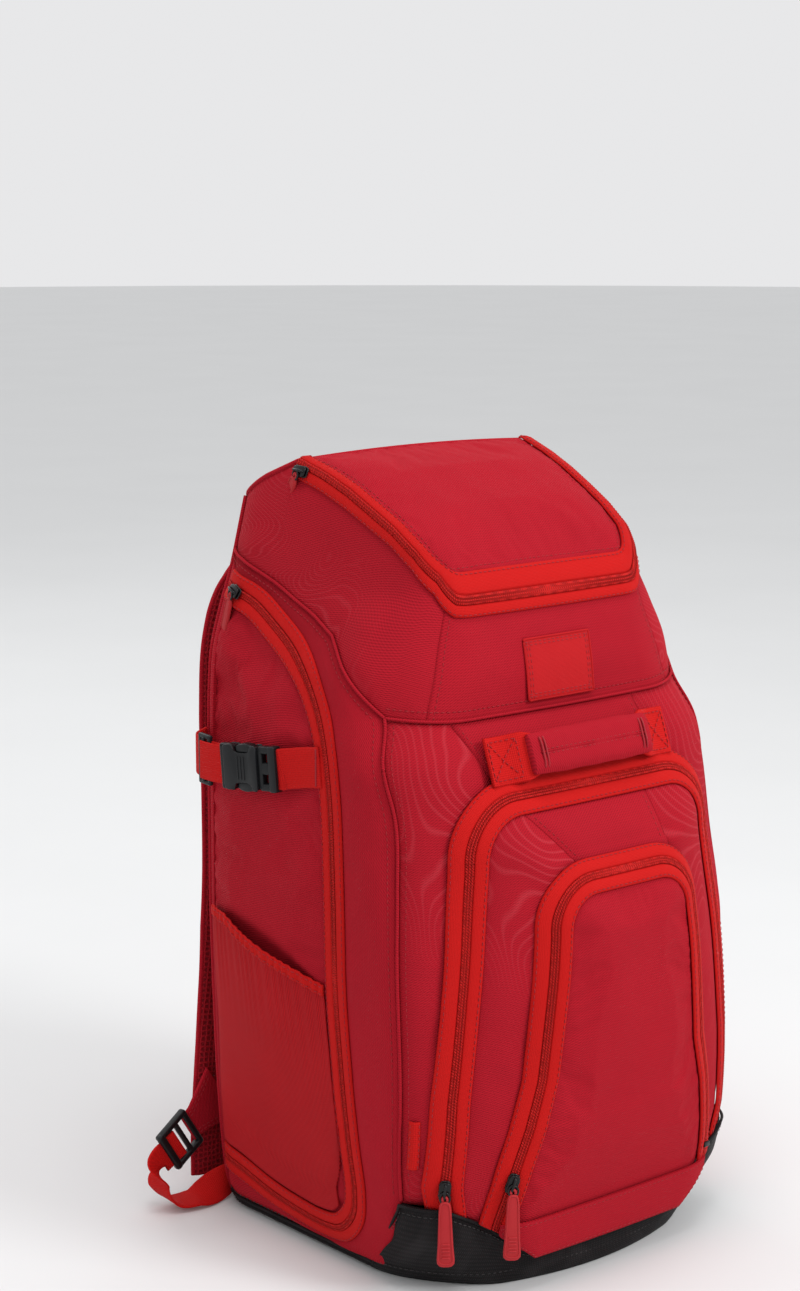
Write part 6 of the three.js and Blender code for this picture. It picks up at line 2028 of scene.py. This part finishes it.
class BackpackColours(bpy.types.PropertyGroup):
    """Dyed colours of the bag."""
    body: FloatVectorProperty(name="Body cloth", description="Main cloth of the bag", subtype="COLOR",
                              size=3,
                              min=0.0, max=1.0, default=linear("#b01726")[:3])
    trim: FloatVectorProperty(name="Trim", description="Zipper tapes and webbing", subtype="COLOR", size=3,
                              min=0.0, max=1.0, default=linear("#c61715")[:3])
    base: FloatVectorProperty(name="Base", description="Coated cloth of the base", subtype="COLOR", size=3,
                              min=0.0, max=1.0, default=linear("#231f20")[:3])


class BackpackCloth(bpy.types.PropertyGroup):
    """How full the padded cloth is, and how bright the studio is."""
    door_pressure: FloatProperty(name="Door fullness", description="Pressure behind the side doors",
                                 default=2.2)
    lid_pressure: FloatProperty(name="Lid fullness", description="Pressure under the lid", default=3.0)
    pocket_pressure: FloatProperty(name="Pocket fullness", description="Pressure in the small pocket",
                                   default=2.2)
    surround: FloatProperty(name="Surround", description="Strength of the pale surroundings", default=0.97)


class BackpackOperator:
    """What the operators below have in common."""
    bl_options = {"REGISTER", "UNDO"}


class BACKPACK_OT_materials(BackpackOperator, bpy.types.Operator):
    """Dye, weave and mould the finishes of the bag"""
    bl_idname = "backpack.materials"
    bl_label = "Finishes"

    def execute(self, context):
        make_materials(context.scene.backpack_colours)
        return {"FINISHED"}


class BACKPACK_OT_base_boot(BackpackOperator, bpy.types.Operator):
    """Sew the coated base boot with its floor"""
    bl_idname = "backpack.base_boot"
    bl_label = "Base boot"

    def execute(self, context):
        base_boot(context.scene.backpack_cloth)
        return {"FINISHED"}


class BACKPACK_OT_side_panels(BackpackOperator, bpy.types.Operator):
    """Sew the gussets round both side doors, with piping and topstitching"""
    bl_idname = "backpack.side_panels"
    bl_label = "Side panels"

    def execute(self, context):
        side_panels(context.scene.backpack_cloth)
        return {"FINISHED"}


class BACKPACK_OT_side_doors(BackpackOperator, bpy.types.Operator):
    """Settle the padded side doors in their zippers"""
    bl_idname = "backpack.side_doors"
    bl_label = "Side doors"

    def execute(self, context):
        side_doors(context.scene.backpack_cloth)
        return {"FINISHED"}


class BACKPACK_OT_stretch_pockets(BackpackOperator, bpy.types.Operator):
    """Gather the knitted stretch pockets under their hems"""
    bl_idname = "backpack.stretch_pockets"
    bl_label = "Stretch pockets"

    def execute(self, context):
        stretch_pockets(context.scene.backpack_cloth)
        return {"FINISHED"}


class BACKPACK_OT_front_panels(BackpackOperator, bpy.types.Operator):
    """Sew the front panel in three parts"""
    bl_idname = "backpack.front_panels"
    bl_label = "Front panel"

    def execute(self, context):
        front_panels(context.scene.backpack_cloth)
        return {"FINISHED"}


class BACKPACK_OT_yoke_and_shoulders(BackpackOperator, bpy.types.Operator):
    """Sew the yoke, the printed shoulder panels and the bound sleeve mouths"""
    bl_idname = "backpack.yoke_and_shoulders"
    bl_label = "Yoke and shoulders"

    def execute(self, context):
        yoke_and_shoulders(context.scene.backpack_cloth)
        return {"FINISHED"}


class BACKPACK_OT_lid(BackpackOperator, bpy.types.Operator):
    """Fill the lid and fold its zipper over the edge"""
    bl_idname = "backpack.lid"
    bl_label = "Lid"

    def execute(self, context):
        lid_pieces(context.scene.backpack_cloth)
        return {"FINISHED"}


class BACKPACK_OT_front_pockets(BackpackOperator, bpy.types.Operator):
    """Make both arched pockets with their zippers, and the band below them"""
    bl_idname = "backpack.front_pockets"
    bl_label = "Front pockets"

    def execute(self, context):
        front_pockets(context.scene.backpack_cloth)
        return {"FINISHED"}


class BACKPACK_OT_sliders(BackpackOperator, bpy.types.Operator):
    """Cast the sliders and hang their moulded pulls"""
    bl_idname = "backpack.sliders"
    bl_label = "Sliders and pulls"

    def execute(self, context):
        sliders(context.scene.backpack_cloth)
        return {"FINISHED"}


class BACKPACK_OT_haul_handle(BackpackOperator, bpy.types.Operator):
    """Sew the haul handle and its wrapped grip"""
    bl_idname = "backpack.haul_handle"
    bl_label = "Haul handle"

    def execute(self, context):
        haul_handle(context.scene.backpack_cloth)
        return {"FINISHED"}


class BACKPACK_OT_patch_and_tab(BackpackOperator, bpy.types.Operator):
    """Sew on the bare patch and the folded tab"""
    bl_idname = "backpack.patch_and_tab"
    bl_label = "Patch and tab"

    def execute(self, context):
        patch_and_tab(context.scene.backpack_cloth)
        return {"FINISHED"}


class BACKPACK_OT_glove_straps(BackpackOperator, bpy.types.Operator):
    """Hang the slack glove straps with their buckles"""
    bl_idname = "backpack.glove_straps"
    bl_label = "Glove straps"

    def execute(self, context):
        glove_straps(context.scene.backpack_cloth)
        return {"FINISHED"}


class BACKPACK_OT_back_and_sleeves(BackpackOperator, bpy.types.Operator):
    """Sew the back panel, its mesh pad and the bat sleeves"""
    bl_idname = "backpack.back_and_sleeves"
    bl_label = "Back and sleeves"

    def execute(self, context):
        back_and_sleeves(context.scene.backpack_cloth)
        back_pad(context.scene.backpack_cloth)
        return {"FINISHED"}


class BACKPACK_OT_shoulder_straps(BackpackOperator, bpy.types.Operator):
    """Make the padded shoulder straps, their wings, ladder locks and webbing"""
    bl_idname = "backpack.shoulder_straps"
    bl_label = "Shoulder straps"

    def execute(self, context):
        shoulder_straps(context.scene.backpack_cloth)
        return {"FINISHED"}


class BACKPACK_OT_stitching(BackpackOperator, bpy.types.Operator):
    """Sew every remembered row of stitches"""
    bl_idname = "backpack.stitching"
    bl_label = "Stitching"

    def execute(self, context):
        stitching(context.scene.backpack_cloth)
        return {"FINISHED"}


class BACKPACK_OT_stage(BackpackOperator, bpy.types.Operator):
    """Set up the floor, the lights and the camera"""
    bl_idname = "backpack.stage"
    bl_label = "Studio"

    def execute(self, context):
        stage(context.scene.backpack_cloth)
        return {"FINISHED"}


OPERATORS = (
    BACKPACK_OT_materials, BACKPACK_OT_base_boot, BACKPACK_OT_side_panels, BACKPACK_OT_side_doors,
    BACKPACK_OT_stretch_pockets, BACKPACK_OT_front_panels, BACKPACK_OT_yoke_and_shoulders, BACKPACK_OT_lid,
    BACKPACK_OT_front_pockets, BACKPACK_OT_sliders, BACKPACK_OT_haul_handle, BACKPACK_OT_patch_and_tab,
    BACKPACK_OT_glove_straps, BACKPACK_OT_back_and_sleeves, BACKPACK_OT_shoulder_straps,
    BACKPACK_OT_stitching, BACKPACK_OT_stage,
)


class BACKPACK_PT_panel(bpy.types.Panel):
    """Settings and steps of the backpack"""
    bl_idname = "BACKPACK_PT_panel"
    bl_label = "Baseball bat backpack"
    bl_space_type = "VIEW_3D"
    bl_region_type = "UI"
    bl_category = "Backpack"

    def draw(self, context):
        for group in (context.scene.backpack_colours, context.scene.backpack_cloth):
            for name in group.__annotations__:
                self.layout.prop(group, name)
        for operator in OPERATORS:
            self.layout.operator(operator.bl_idname)


CLASSES = (BackpackColours, BackpackCloth) + OPERATORS + (BACKPACK_PT_panel,)


def register():
    for cls in CLASSES:
        bpy.utils.register_class(cls)
    bpy.types.Scene.backpack_colours = PointerProperty(type=BackpackColours)
    bpy.types.Scene.backpack_cloth = PointerProperty(type=BackpackCloth)


def unregister():
    del bpy.types.Scene.backpack_cloth
    del bpy.types.Scene.backpack_colours
    for cls in reversed(CLASSES):
        bpy.utils.unregister_class(cls)


def main():
    register()
    for operator in OPERATORS:
        area, name = operator.bl_idname.split(".")
        getattr(getattr(bpy.ops, area), name)()


if __name__ == "__main__":
    main()
